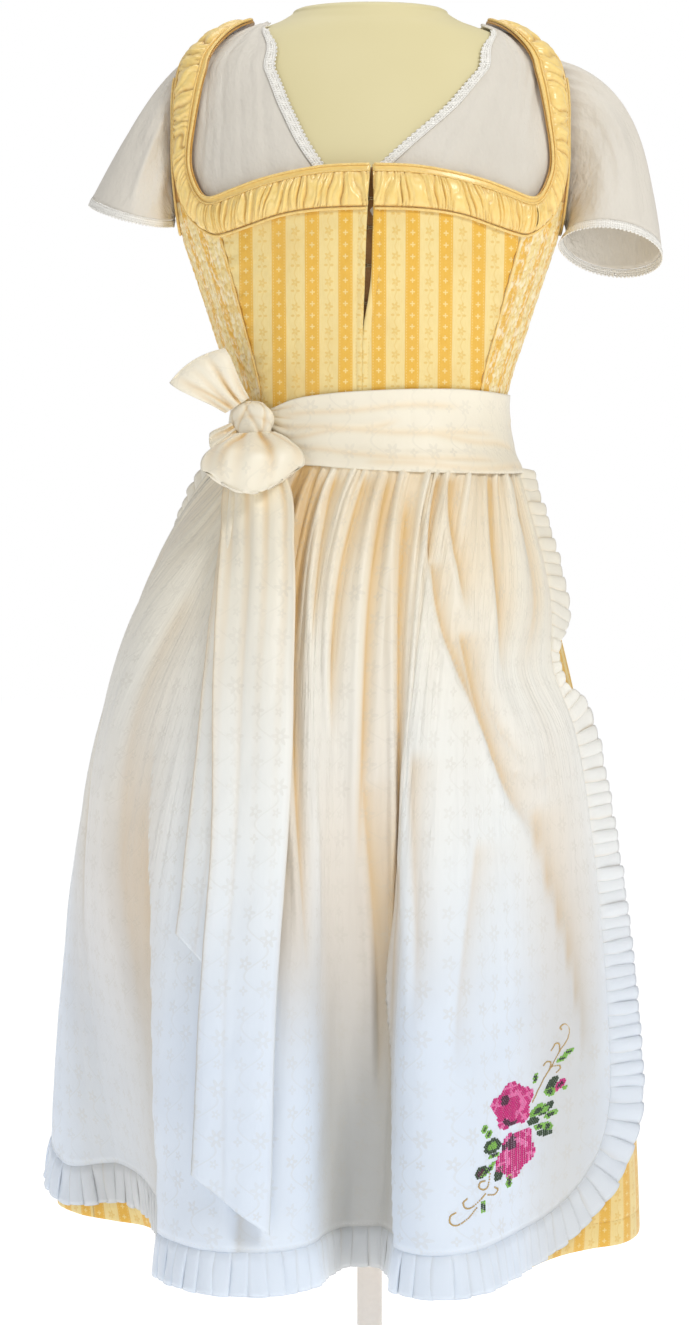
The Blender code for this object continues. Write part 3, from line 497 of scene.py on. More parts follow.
def makeBrocade(name, shirred=False):
    # broad gold stripes with small crosses between pale stripes with woven flowers
    nodes = Nodes(name, (240, 205, 115), 0.46, sheen=0.08, specular=0.35)
    u, v, vector = nodes.cloth()
    pitch, gold = brocade["pitch"], brocade["gold"]
    share = nodes.part(u, pitch)
    fromGold = nodes.minus(share, gold / 2)
    stripe = nodes.step(gold / 2, gold / 2 - brocade["goldEdge"], nodes.size(fromGold))
    x, y = nodes.size(nodes.times(fromGold, pitch)), nodes.size(nodes.cell(v, brocade["crossPitch"]))
    cross = nodes.times(nodes.step(0.0008, 0.0004, nodes.math("MINIMUM", x, y)),
                        nodes.step(brocade["crossArm"], 0.0020, nodes.most(x, y)))
    line = nodes.step(0.00045, 0.0001, nodes.size(nodes.minus(x, brocade["dotLine"])))
    dots = nodes.times(nodes.wave(v, brocade["dotPitch"]), line)
    x = nodes.times(nodes.minus(share, (1 + gold) / 2), pitch)
    y = nodes.cell(v, brocade["flowerPitch"], 0.25)
    flower = nodes.blossom(x, y, brocade["flower"], 5.0, 0.0006)
    bend = nodes.times(nodes.math("SINE", nodes.times(y, 560.0)), 0.0009)
    stem = nodes.step(0.0008, 0.0003, nodes.size(nodes.minus(x, bend)))
    leafX, leafY = nodes.minus(nodes.size(x), 0.0026), nodes.plus(y, 0.0078)
    leafAway = nodes.plus(nodes.times(leafX, leafX), nodes.times(nodes.times(leafY, leafY), 2.2))
    leaf = nodes.step(brocade["leaf"], 0.0013, nodes.math("SQRT", leafAway))
    sprig = nodes.most(flower, nodes.most(nodes.times(stem, 0.55), leaf))
    figured = nodes.times(sprig, nodes.minus(1.0, stripe))
    shimmer = nodes.noise(vector, 900.0, 2.0, stretch=(1.0, 0.12))
    golden = nodes.blend(shimmer, *brocade["goldTones"])
    golden = nodes.blend(nodes.times(nodes.most(cross, dots), 0.7), golden, (247, 226, 160))
    pale = nodes.blend(nodes.times(figured, 0.62), nodes.blend(shimmer, *brocade["paleTones"]),
                       brocade["figure"])
    base = nodes.blend(stripe, pale, golden)
    cloudy = nodes.step(0.45, 0.75, nodes.noise(vector, 14.0, 2.0))
    base = nodes.blend(nodes.times(cloudy, 0.30), base, brocade["worn"])
    if shirred:         # painted highlights: pale dashes placed by noise break the weave up into pale and gold dashes
        crinkleHighlights = nodes.step(0.47, 0.62, nodes.noise(vector, 210.0, 3.0, 0.6, (1.0, 0.42)))
        base = nodes.blend(nodes.times(crinkleHighlights, 0.75), base, brocade["crinkleHighlight"])
    # painted shade: hollows darken to deep gold where the fold attribute is set
    base = nodes.blend(nodes.fold(0.80), base, brocade["fold"])
    rough = nodes.scaled(nodes.most(stripe, figured), -0.10, 0.52)
    relief = nodes.plus(nodes.times(figured, 0.7), nodes.plus(stripe, cross))
    # small creases from wear lie over the weave
    worn = nodes.bump(nodes.noise(vector, 38.0, 3.0, 0.62, (1.0, 1.5)), 0.55, 0.0028,
                      nodes.bump(relief, 0.35, 0.0005))
    return nodes.done(base, rough, nodes.bump(nodes.threads(u, v, 0.0007, 0.0009), 0.25, 0.0002, worn))


def makeSatin(name, light, dark, deep):
    nodes = Nodes(name, light, 0.30, sheen=0.25, specular=0.7)
    vector = nodes.cloth()[2]
    streak = nodes.noise(vector, 240.0, 3.0, stretch=(0.55, 1.0))
    base = nodes.blend(streak, light, dark)
    base = nodes.blend(nodes.times(nodes.noise(vector, 60.0, 3.0), 0.35), base, dark)
    # painted shade: creases darken toward the deep colour where the fold attribute is set
    return nodes.done(nodes.blend(nodes.fold(0.85), base, deep), normal=nodes.bump(streak, 0.40, 0.0012))


jacquard = {"pitch": 0.044, "vine": 0.011, "vineEdge": (0.0016, 0.0007),
            "warmLightTones": ((248, 241, 222), (240, 230, 206)),
            "coolLightTones": ((230, 239, 249), (218, 229, 243)),
            "middleTone": (242, 245, 244), "foldShadeTones": ((184, 173, 150), (222, 178, 98)),
            # shifts of the repeat, radius, petals, softness of the edge
            "flowers": (((0.0, 0.0), 0.0095, 6.0, 0.0015), ((0.5, 0.5), 0.0076, 5.0, 0.0015),
                        ((0.5, 0.04), 0.0050, 4.0, 0.001), ((0.03, 0.52), 0.0050, 5.0, 0.001)),
            # heights above the floor between which one tone passes into the next: painted warm and cool
            # light, and painted golden shade in the folds
            "warmLightFrom": (0.62, 1.02), "coolLightFrom": (0.72, 0.48), "goldenShadeFrom": (0.40, 0.76)}


def makeIvory(name, figured=True, drawn=False):
    # ivory silk with flowers woven tone on tone; painted light makes it warmer near the waist and cooler and
    # bluer low down
    nodes = Nodes(name, (244, 240, 228), 0.42, sheen=0.3, specular=0.5)
    u, v, vector = nodes.cloth()
    height = nodes.axis(nodes.place(), 2)
    shimmer = nodes.noise(vector, 700.0, 2.0, stretch=(1.0, 0.10))
    cloudy = nodes.noise(vector, 9.0, 2.0)
    cool = nodes.blend(nodes.step(*jacquard["coolLightFrom"], height), jacquard["middleTone"],
                       nodes.blend(cloudy, *jacquard["coolLightTones"]))
    base = nodes.blend(nodes.step(*jacquard["warmLightFrom"], height), cool,
                       nodes.blend(cloudy, *jacquard["warmLightTones"]))
    # painted shade in the folds, from the fold attribute: golden high up and greyish brown lower down
    glow = nodes.step(*jacquard["goldenShadeFrom"], height)
    base = nodes.blend(nodes.fold(0.80), base, nodes.blend(glow, *jacquard["foldShadeTones"]))
    relief = nodes.times(shimmer, 0.25)
    rough = nodes.scaled(shimmer, 0.08, 0.40)
    if figured:
        pitch = jacquard["pitch"]
        figure = 0.0
        for offsets, radius, petals, edge in jacquard["flowers"]:
            bloom = nodes.blossom(nodes.cell(u, pitch, offsets[0]), nodes.cell(v, pitch, offsets[1]),
                                  radius, petals, edge)
            figure = nodes.most(bloom, figure)
        bend = nodes.times(nodes.math("SINE", nodes.times(v, 2 * math.pi / pitch)), jacquard["vine"])
        trail = nodes.step(*jacquard["vineEdge"], nodes.size(nodes.minus(nodes.cell(u, pitch, 0.25), bend)))
        figure = nodes.most(figure, nodes.times(trail, 0.7))
        # woven figures come and go with the light
        seen = nodes.times(figure, nodes.scaled(nodes.noise(vector, 16.0, 2.0), 0.50, -0.08))
        base = nodes.blend(seen, base, (206, 200, 186))
        relief = nodes.plus(relief, figure)
        rough = nodes.scaled(figure, 0.14, rough)
    creased = nodes.bump(nodes.noise(vector, 26.0, 4.0, 0.58, (1.0, 0.45)), 0.45, 0.0040)
    if drawn:           # fine folds run down from the gathers
        folds = nodes.noise(vector, 62.0, 3.0, 0.55, (1.0, 0.09))
        creased = nodes.bump(nodes.times(folds, glow), 0.6, 0.0060, creased)
    woven = nodes.bump(relief, 0.25, 0.0004, creased)
    return nodes.done(base, rough, nodes.bump(nodes.threads(u, v, 0.0007, 0.0007), 0.15, 0.0002, woven))


materials = {
    "formCover": makeFormCover(), "cotton": makeCotton(), "lace": makeLace(),
    "brocade": makeBrocade("yellowBrocade"), "shirred": makeBrocade("shirredBrocade", shirred=True),
    # the last colour of each satin is its painted shade in the folds
    "satin": makeSatin("goldSatin", (255, 232, 158), (244, 204, 108), (190, 132, 44)),
    "yoke": makeSatin("yokeSatin", (222, 174, 78), (196, 140, 48), (132, 86, 24)),
    "piping": makeFinish("palePiping", (250, 224, 150), (226, 182, 92), 0.4, (420.0, 2.0), (0.3, 0.0005),
                         sheen=0.2),
    "darkGold": makeFinish("darkGold", (168, 122, 58), (122, 82, 34), 0.6, (500.0, 2.0), (0.3, 0.0004),
                           onCloth=True, sheen=0.2),
    "hook": makeFinish("hookMetal", (186, 168, 128), (120, 102, 74), 0.32, (700.0, 3.0), metallic=0.9),
    "metal": makeFinish("whiteMetal", (246, 246, 245), (238, 238, 237), 0.34, (260.0, 2.0), (0.05, 0.0003)),
    "ivory": makeIvory("ivoryJacquard"), "apron": makeIvory("apronJacquard", drawn=True),
    "taffeta": makeIvory("ivoryTaffeta", figured=False),
    "rose": makeThread("magentaThread", (236, 40, 152), (206, 18, 122)),
    "pink": makeThread("pinkThread", (255, 150, 206), (246, 112, 182)),
    "plum": makeThread("plumThread", (104, 30, 72), (72, 18, 50)),
    "leaf": makeThread("leafThread", (158, 216, 96), (118, 184, 62)),
    "darkLeaf": makeThread("darkLeafThread", (62, 92, 54), (40, 62, 38)),
    "goldThread": makeThread("goldThread", (214, 184, 120), (182, 148, 84)),
    "whiteThread": makeThread("whiteThread", (242, 242, 240), (220, 220, 220)),
    "yellowThread": makeThread("yellowThread", (236, 196, 104), (212, 166, 72)),
}
print("materials ready:", len(materials))


# ---- dress form
form = {"sides": 96, "low": -0.24, "neck": 0.4055, "top": 0.4064, "topIn": 0.93, "gap": 0.0003,
        "poleRadius": 0.0125, "baseRadius": 0.180, "baseThickness": 0.010, "bevel": 0.003,
        "collarRadius": 0.0215, "collarTop": 0.034}


def makeTorso():
    heights = np.concatenate((np.linspace(form["low"], 0.38, 90), np.linspace(0.383, form["neck"], 26)))
    angles = np.linspace(-180, 180, form["sides"] + 1)
    points = bodyAt(heights[:, None], angles[None, :])
    # the rim of the neck rolls in
    inner = points[-1] * (form["topIn"], form["topIn"], 0) + (0, 0, waist["level"] + form["top"])
    points = np.concatenate((points, inner[None]))
    cloth = joined(angles[None, :] / 360, np.linspace(0, 1, len(points))[:, None])
    mesh = gridMesh("formTorso", points, cloth)
    mergeDoubles(mesh, fill=True)
    piece = linked("formTorso", mesh)
    selectOnly(piece)
    bpy.ops.object.shade_smooth_by_angle(angle=math.radians(50))
    finishPiece(piece, "formCover", ["form_torso"])


def roundPiece(name, radius, low, high, bevel, nodes):
    selectOnly()
    bpy.ops.mesh.primitive_cylinder_add(vertices=form["sides"], radius=radius, depth=high - low,
                                        location=(0, 0, (low + high) / 2))
    piece = bpy.context.object
    piece.name = name
    edge = piece.modifiers.new("edge", "BEVEL")
    edge.width = bevel
    edge.segments = 4
    edge.limit_method = "ANGLE"
    bpy.ops.object.modifier_apply(modifier="edge")
    bpy.ops.object.transform_apply(location=True, rotation=True, scale=True)
    bpy.ops.object.shade_smooth_by_angle(angle=math.radians(40))
    finishPiece(piece, "metal", nodes)


def makeStand():
    roundPiece("standBase", form["baseRadius"], 0.0, form["baseThickness"], form["bevel"], ["form_base"])
    low, high = form["baseThickness"] + form["gap"], waist["level"] + form["low"] - form["gap"]
    roundPiece("standPole", form["poleRadius"], low, high, 0.001, ["form_pole"])
    roundPiece("poleCollar", form["collarRadius"], low + 0.0001, form["collarTop"], form["bevel"], [])


# ---- blouse
sleeveForms = {
    "left": {"centre": (0.2360, 0.004, 0.1800), "out": (0.0480, 0.0, -0.004),
             "front": (-0.008, -0.064, 0.0200), "shoulder": (0.040, 0.0, 0.076), "belly": 0.010,
             "pleats": 9, "seed": 3.0},
    "right": {"centre": (-0.2300, 0.004, 0.2160), "out": (-0.0400, 0.0, 0.010),
              "front": (0.004, -0.060, -0.0110), "shoulder": (0.016, 0.0, 0.052), "belly": 0.004,
              "pleats": 8, "seed": 7.0},
}
blouse = {"hem": 0.100, "top": 0.386, "sleeveHeight": 0.282, "sleeveRise": 0.074, "sleeveSpan": 12.6,
          "laceAngle": 4.6, "cuffLace": 0.0085, "seamGap": 0.06, "columns": 64, "foldLift": 0.0014,
          "backLift": 0.0008, "neckLace": (0.240, 0.379), "scallop": 0.0052, "gather": 0.0032}


def sleeveEdge(height):     # half the angle that the armhole takes out
    share = (height - blouse["sleeveHeight"]) / blouse["sleeveRise"]
    return blouse["sleeveSpan"] * np.sqrt(np.maximum(1 - share * share, 0.0))


def blouseHeights():
    low, high = blouse["sleeveHeight"] - blouse["sleeveRise"], blouse["sleeveHeight"] + blouse["sleeveRise"]
    curve = blouse["sleeveHeight"] - blouse["sleeveRise"] * np.cos(np.linspace(0, math.pi, 60))
    above = np.linspace(high, blouse["top"], 16)[1:]
    return np.concatenate((np.linspace(blouse["hem"], low, 26)[:-1], curve, above))


def makeBlouseBody():
    heights = blouseHeights()[:, None]
    shares = np.linspace(0, 1, blouse["columns"])[None, :]
    for side, name in sides:
        edge = name + "Edge"
        inner = neckTable.at(edge, heights) + side * blouse["seamGap"]
        outer = side * (90 - sleeveEdge(heights) - blouse["seamGap"])
        angle = mix(inner, outer, shares) if side > 0 else mix(outer, inner, shares)
        fromEdge = shares if side > 0 else 1 - shares
        # soft slanting folds that run down from the neck edge
        lean = fromEdge * 5.0 + heights * 9.0
        fold = np.clip(unevenness(lean * 0.9, heights * 3.0 + fromEdge, 2.0 + side), -1, 1)
        quiet = between(fromEdge, 0.0, 0.12, 0.93, 1.0) * smooth(0.10, 0.2, heights)
        lift = layers["blouse"][0] + blouse["foldLift"] * quiet * (fold + 0.6)
        points = liftedAt(bodyAt, heights, angle, lift)
        cloth = joined(np.radians(angle) * 0.17, heights)
        clothPiece("blouseFront" + name.title(), points, cloth, layers["blouse"][1], "cotton",
                   ["blouse_front_" + name])
    start = 90 + sleeveEdge(heights) + blouse["seamGap"]
    angle = mix(start, 360 - start, np.linspace(0, 1, 96)[None, :])
    fold = unevenness(np.radians(angle) * 2.2, heights * 6, 5.0)
    quiet = smooth(0.10, 0.16, heights) * between(angle, 92, 125, 235, 268)
    lift = layers["blouse"][0] + blouse["backLift"] * (fold + 1) * quiet
    points = liftedAt(bodyAt, heights, angle, lift)
    cloth = joined(np.radians(angle) * 0.17, heights)
    clothPiece("blouseBack", points, cloth, layers["blouse"][1], "cotton", ["blouse_back"])


def makeNeckLace():
    # a flat strip with a row of gathers and a scalloped edge, past the edge of the V
    for side, name in sides:
        heights = np.linspace(*blouse["neckLace"], 420)[:, None]
        across = np.linspace(0, 1, 14)[None, :]       # 0 at the blouse, 1 at the scallops
        start = neckTable.at(name + "Edge", heights) + side * 0.9
        run = heights * 1.35
        scallop = 0.84 + 0.16 * np.abs(np.sin(math.pi * run / blouse["scallop"]))
        reach = (0.12 + 0.88 * across) * np.where(across > 0.6, scallop, 1.0)
        angle = start - side * blouse["laceAngle"] * reach
        gathers = 0.6 + 0.4 * np.sin(2 * math.pi * run / blouse["gather"])
        pucker = 0.0011 * bell(across - 0.42, 0.16) * gathers
        roll = 0.0003 * bell(across - 0.05, 0.06) + 0.0013 * smooth(0.42, 0.25, across)
        points = liftedAt(bodyAt, heights, angle, layers["blouse"][0] + pucker + roll)
        cloth = joined(across * 0.0102, run)
        clothPiece("neckLace" + name.title(), points, cloth, thin["lace"], "lace",
                   ["blouse_lace_neck_" + name], flip=side > 0)


def sleevePoint(name, side, turn, share):
    sleeveForm = sleeveForms[name]
    centre = np.array(sleeveForm["centre"]) + (0, 0, waist["level"])
    out, front, shoulder = (np.array(sleeveForm[key]) for key in ("out", "front", "shoulder"))
    around = np.radians(turn)
    height = blouse["sleeveHeight"] + (blouse["sleeveRise"] - 0.0006) * np.cos(around)
    angle = side * (90 - (blouse["sleeveSpan"] - 0.25) * np.sin(around))
    start = liftedAt(bodyAt, height, angle, layers["blouse"][0] + 0.0018)
    cosine, sine = np.cos(around)[..., None], np.sin(around)[..., None]
    cuff = centre + out * cosine + front * sine
    top = (1 + cosine) / 2
    belly = out / np.linalg.norm(out) * sleeveForm["belly"] * (1 - top)
    bend = mix(start, cuff, 0.5) + shoulder * top + belly
    share = np.asarray(share)[..., None]
    return start * (1 - share) ** 2 + bend * 2 * share * (1 - share) + cuff * share ** 2


def makeSleeve(name, side):
    sleeveForm = sleeveForms[name]
    turns = np.linspace(0, 360, 145) if side < 0 else np.linspace(360, 0, 145)
    turn, share = np.meshgrid(turns, np.linspace(0, 1, 60))
    points = sleevePoint(name, side, turn, share)
    away = unit(np.cross(np.gradient(points, axis=1), np.gradient(points, axis=0)))
    away[:, 0] = away[:, -1] = unit(away[:, 0] + away[:, -1])
    # gathers at the shoulder, soft folds down to the cuff
    around = np.radians(turn)
    phase = sleeveForm["pleats"] * turn / 360 + 0.18 * np.sin(around * 3 + sleeveForm["seed"])
    over = (0.35 + 0.65 * (1 + np.cos(around)) / 2)
    shirred = np.cos(2 * math.pi * 3 * phase) * np.exp(-share / 0.16)
    soft = np.cos(2 * math.pi * phase + 0.8 * np.sin(share * 5)) * np.abs(np.sin(math.pi * share)) ** 0.7
    crease = bell(turn - 62 - 20 * share, 5.0) * between(share, 0.15, 0.45, 0.8, 0.98)
    lift = over * (0.0012 * shirred + 0.0017 * soft) - 0.0024 * crease
    lift = lift + 0.0009 * np.sin(2 * turn * math.pi / 180 + share * 4) * share * (1 - share)
    points = points + away * lift[..., None]
    points[:, -1] = points[:, 0]
    cloth = joined(turn / 360 * 0.38, share * 0.16)
    clothPiece("sleeve" + name.title(), points, cloth, layers["blouse"][1], "cotton",
               ["blouse_sleeve_" + name], closed=True)
    # cuff edging: a stitched line, then lace with small scallops
    turns = np.linspace(0, 360, 641) if side < 0 else np.linspace(360, 0, 641)
    turn, share = np.meshgrid(turns, np.linspace(0, 1, 8))
    rim = sleevePoint(name, side, turn, 1.0)
    before = sleevePoint(name, side, turn, 0.93)
    down = unit(rim - before)
    scallop = 0.80 + 0.20 * np.abs(np.sin(math.pi * turn / 360 * 76))
    drop = 0.0003 + blouse["cuffLace"] * share * np.where(share > 0.55, scallop, 1.0)
    away = unit(rim - rim.mean((0, 1)))
    pucker = 0.0006 * bell(share - 0.35, 0.18) * (0.6 + 0.4 * np.sin(2 * math.pi * turn / 360 * 130))
    points = rim + down * drop[..., None] + away * (pucker[..., None] + 0.0002)
    points[:, -1] = points[:, 0]
    cloth = joined(turn / 360 * 0.36, share * blouse["cuffLace"])
    clothPiece("cuffLace" + name.title(), points, cloth, thin["lace"], "lace", ["blouse_lace_cuff_" + name],
               closed=True)


# ---- bodice
bodice = {"hem": -0.0283, "frontSeam": 52.0, "backSeam": 125.0, "strapFoot": 0.2200, "strapBack": 0.303,
          "strapStart": 53.6, "seamGap": 0.055, "armholeHeight": 0.280, "armholeRise": 0.083,
          "armholeSpan": 14.7, "cordRise": 0.0045, "cordSpan": 1.4, "sideRipple": 0.0074,
          "backTop": 0.285, "backLines": (152, 180, 208), "backLineHalf": 0.7}


def neckline(angle):
    return np.interp(np.abs(angle), trimTable.columns["innerAngle"][:7], trimTable.columns["innerHeight"][:7])


def sideTop(angle):
    foot, back, span = bodice["strapFoot"], bodice["strapBack"], bodice["armholeSpan"]
    share = np.clip((90 - angle) / span, -1, 1)
    low = bodice["armholeHeight"] - bodice["armholeRise"] * np.sqrt(1 - share * share)
    top = np.where(np.abs(90 - angle) < span, np.minimum(low, np.where(angle < 90, foot, back)),
                   np.where(angle < 90, foot, back))
    slope = mix(neckline(bodice["frontSeam"]), foot,
                (angle - bodice["frontSeam"]) / (bodice["strapStart"] - bodice["frontSeam"]))
    return np.where(angle < bodice["strapStart"], slope, top)


def slitAngle(edge, height):
    return np.degrees(np.arcsin(slitTable.at(edge, height) / bodyTable.at("halfWidth", height)))


def makeBodiceFronts():
    shares, rises = np.meshgrid(np.linspace(0, 1, 90), np.linspace(0, 1, 120))
    for side, name in sides:
        height = mix(bodice["hem"], neckline(shares * bodice["frontSeam"]), rises)
        angle = mix(slitAngle(name + "Edge", height), side * (bodice["frontSeam"] - bodice["seamGap"]),
                    shares)
        # the cloth strains a little at each hook and rolls at the slit's edge
        strain = sum(bell(height - hook, 0.006) for hook in hookHeights)
        pull = 0.0010 * strain * np.exp(-shares / 0.10) + 0.0007 * bell(shares - 0.012, 0.012)
        stitch = -0.0006 * bell(shares - 0.045, 0.008)
        tired = 0.0007 * unevenness(shares * 2.4, height * 9, 4.0 + side) * smooth(0.05, 0.2, shares)
        nearSeam = 0.0010 * np.sin(2 * math.pi * height / 0.016 + shares * 9) * smooth(0.80, 1.0, shares)
        drag = unevenness(shares * 1.2 + height * 4, height * 17 + shares * 2, 14.0 + side)
        drag = 0.0007 * drag * smooth(0.25, 0.9, shares + 0.5 * smooth(0.10, -0.02, height))
        lift = layers["bodice"][0] + np.clip(pull + stitch + tired + drag + nearSeam * 0.6, -0.0008, 0.0018)
        points = liftedAt(bodyAt, height, angle, lift)
        cloth = joined(points[..., 0], height)
        clothPiece("bodiceFront" + name.title(), points, cloth, layers["bodice"][1], "brocade",
                   ["bodice_front_" + name], flip=side < 0)


def makeBodiceSides():
    # shirred panels: short crosswise ripples between the seams
    angles = np.concatenate((np.linspace(bodice["frontSeam"] + bodice["seamGap"], 79.8, 48),
                             np.linspace(80.2, 104.2, 60), (104.7,),
                             np.linspace(105.2, bodice["backSeam"] - bodice["seamGap"], 36)))
    angle, rises = np.meshgrid(angles, np.linspace(0, 1, 150))
    height = mix(bodice["hem"], sideTop(angle), rises)
    pitch = bodice["sideRipple"]
    for side, name in sides:
        wander = 0.9 * unevenness(angle / 11, height * 13, 3.0 + side)
        ripple = np.abs(np.sin(math.pi * (height / pitch + wander))) ** 0.7
        ripple = mix(ripple, 0.5 + 0.5 * unevenness(angle / 5, height * 60, 5.0 + side), 0.42)
        strength = between(rises, 0.0, 0.05, 0.93, 1.0) * between(angle, 52, 55, 121, 125)
        lift = layers["bodice"][0] + 0.0018 * strength * (ripple - 0.30)
        shade = np.clip(1.0 - 1.9 * ripple, 0, 1) * strength * 0.9
        points = liftedAt(bodyAt, height, side * angle, lift)
        cloth = joined(side * np.radians(angle) * 0.165, height)
        clothPiece("bodiceSide" + name.title(), points, cloth, layers["bodice"][1], "shirred",
                   ["bodice_side_" + name], tint=shade, flip=side < 0)


def makeBodiceBack():
    start = bodice["backSeam"] + bodice["seamGap"]
    angle, rises = np.meshgrid(np.linspace(start, 360 - start, 130), np.linspace(0, 1, 110))
    top = mix(bodice["backTop"], bodice["strapBack"], np.minimum(np.abs(angle - 180) / 42, 1.0) ** 2)
    height = mix(bodice["hem"], top, rises)
    seams = sum(bell(angle - place, bodice["backLineHalf"]) for place in bodice["backLines"])
    tired = unevenness(angle / 28, height * 8, 6.0)
    lift = layers["bodice"][0] + np.clip(0.0006 * tired, -0.0005, 0.0008) - 0.0007 * seams
    points = liftedAt(bodyAt, height, angle, lift)
    cloth = joined(points[..., 0], height)
    clothPiece("bodiceBack", points, cloth, layers["bodice"][1], "brocade", ["bodice_back"])


placket = {"low": 0.040, "high": 0.2425, "half": 0.010, "wave": 0.0003}


def makePlacket():
    shares, heights = np.meshgrid(np.linspace(0, 1, 16), np.linspace(placket["low"], placket["high"], 90))
    middle = (slitTable.at("leftEdge", heights) + slitTable.at("rightEdge", heights)) / 2
    x = middle + mix(-placket["half"], placket["half"], shares)
    angle = np.degrees(np.arcsin(x / bodyTable.at("halfWidth", heights)))
    lift = layers["placket"][0] + placket["wave"] * np.sin(heights * 300)
    points = liftedAt(bodyAt, heights, angle, lift)
    clothPiece("placket", points, joined(x, heights), layers["placket"][1], "darkGold", ["bodice_placket"])


hookHeights = (0.098, 0.120, 0.154, 0.188, 0.214)
hookForm = {"lift": 0.0058, "wire": 0.00045, "reach": 0.0052, "eye": 0.0017, "half": 0.0009, "tip": -0.0006,
            "eyeAt": -0.0026, "eyeDrop": 0.0006}


def makeHooks():
    # a bent wire hook from the wearer's left, caught in a round eye on the other side
    for number, height in enumerate(hookHeights, 1):
        middle = float(slitTable.at("leftEdge", height) + slitTable.at("rightEdge", height)) / 2
        half = float(bodyTable.at("halfWidth", height))

        def spot(x, rise, lift=0.0):
            angle = math.degrees(math.asin((middle + x) / half))
            return liftedAt(bodyAt, height + rise, angle, hookForm["lift"] + lift)

        reach, tip, bent, eye = (hookForm[key] for key in ("reach", "tip", "half", "eye"))
        shank = [(x, bent) for x in np.linspace(reach, tip, 9)]
        turns = np.linspace(0.3, math.pi - 0.3, 7)
        bend = [(tip - bent * math.sin(t), bent * math.cos(t)) for t in turns]
        back = [(x, -bent) for x in np.linspace(tip, reach, 9)]
        wire = np.array([spot(x, rise) for x, rise in shank + bend + back])
        place, drop = hookForm["eyeAt"], -hookForm["eyeDrop"]
        ring = np.array([spot(place + eye * math.cos(t) * 1.3, eye * math.sin(t), drop)
                         for t in np.linspace(0, 2 * math.pi, 18, endpoint=False)])
        mesh = tubeMesh("hook%d" % number, wire, hookForm["wire"], 6)
        work = bmesh.new()
        work.from_mesh(mesh)
        work.from_mesh(tubeMesh("eye", ring, hookForm["wire"], 6, closed=True))
        work.to_mesh(mesh)
        work.free()
        mesh.shade_smooth()
        finishPiece(linked("hook%d" % number, mesh), "hook", ["hook_%d" % number])


# ---- straps and ruched trim
trim = {"end": 17.9, "corner": 5.4, "cordRadius": 0.0013, "seamCord": 0.0010, "crown": 0.0056, "fold": 0.0034,
        "rucheEdges": (0.17, 0.94), "rucheDrop": 0.0010, "frontFolds": 17, "strapFolds": 19}

# name, share of the band's width, radius, start of the node's name
trimCords = (("neckCord", 0.015, 0.0013, "piping_neck_"), ("innerCord", 0.165, 0.0011, ""),
             ("bandCord", 0.985, 0.0013, "piping_band_"))


def makeStraps():
    middle, rise = bodice["armholeHeight"] - 0.0003, bodice["armholeRise"]
    foot, back = (math.degrees(math.acos((middle - end) / rise))
                  for end in (bodice["strapFoot"], bodice["strapBack"]))
    share, along = np.meshgrid(np.linspace(0, 1, 28), np.linspace(0, 1, 150))
    for side, name in sides:
        step = mix(5.3, 18.0, along)
        turn = np.radians(mix(foot, 360 - back, along))
        fromNeck = share if side > 0 else 1 - share
        angle = mix(trimTable.at("innerAngle", step), 90 - bodice["armholeSpan"] * np.sin(turn), fromNeck)
        height = mix(trimTable.at("innerHeight", step) + 0.0003,
                     bodice["armholeHeight"] - bodice["armholeRise"] * np.cos(turn), fromNeck)
        tuck = 0.0004 * np.sin(along * 90 + fromNeck * 6) * smooth(0.55, 0.8, fromNeck)
        points = liftedAt(bodyAt, height, side * angle, layers["bodice"][0] + tuck)
        cloth = joined(fromNeck * 0.045, along * 0.32)
        shade = 0.35 * smooth(0.3, 0.55, along) * (1 - smooth(0.9, 1.0, fromNeck))
        clothPiece("strap" + name.title(), points, cloth, layers["bodice"][1], "yoke", ["strap_" + name],
                   tint=shade)


def trimSpot(step, across, side):
    angle = mix(trimTable.at("innerAngle", step), trimTable.at("outerAngle", step), across)
    height = mix(trimTable.at("innerHeight", step), trimTable.at("outerHeight", step), across)
    edge = slitAngle("leftEdge" if side > 0 else "rightEdge", height) * side
    first = mix(trimTable.at("innerAngle", 1), trimTable.at("outerAngle", 1), across)
    return np.where(step < 1, mix(edge, first, np.minimum(step, 1)), angle), height


def makeRuche(name, side, label, start, end, folds, seed, nodes):
    share = np.linspace(1, 0, 30)[None, :]         # from the outer edge to the neckline
    along = np.linspace(0, 1, folds * 16)[:, None]
    fromNeck = share if side > 0 else 1 - share
    step = mix(start, end, along) + 0 * share
    angle, height = trimSpot(step, mix(*trim["rucheEdges"], fromNeck), side)
    # drawn-up folds run across the band, and short ones start at either edge between them
    run = along * folds
    wander = 0.26 * np.sin(run * 2.1 + seed) + 0.18 * np.sin(run * 3.7 + 2 * seed)
    slant = (fromNeck - 0.5) * (0.55 * np.sin(run * 1.3 + seed * 3) + 0.15)
    phase = run * 1.15 + wander + slant + 0.07 * np.sin(fromNeck * 8 + run * 2.3)
    wide = np.abs(np.sin(math.pi * phase)) ** 0.62
    short = np.abs(np.sin(math.pi * (phase * 2.3 + 0.35 * (fromNeck - 0.5) + seed))) ** 0.7
    atEdge = smooth(0.15, 0.9, np.abs(2 * fromNeck - 1))
    uneven = 0.5 + 0.5 * np.sin(run * 1.7 + seed * 5)
    ridge = mix(wide, short, 0.28 + 0.5 * atEdge * uneven)
    crown = np.sqrt(np.maximum(1 - (2 * fromNeck - 1) ** 2, 0))
    base = layers["trim"][0] - trim["rucheDrop"]
    lift = (base + trim["crown"] * crown ** 0.8 * (0.55 + 0.45 * ridge)
            + trim["fold"] * (ridge - 0.5) * (0.35 + 0.65 * crown))
    lift = np.maximum(lift, base)
    points = liftedAt(bodyAt, height, side * angle, lift)
    cloth = joined(fromNeck * 0.040, along * folds * 0.016)
    shade = np.clip(0.95 - 1.6 * ridge, 0, 1) * (0.5 + 0.5 * crown) + 0.30 * (1 - crown)
    clothPiece(label + name.title(), points, cloth, layers["trim"][1], "satin", nodes,
               tint=np.clip(shade, 0, 1))


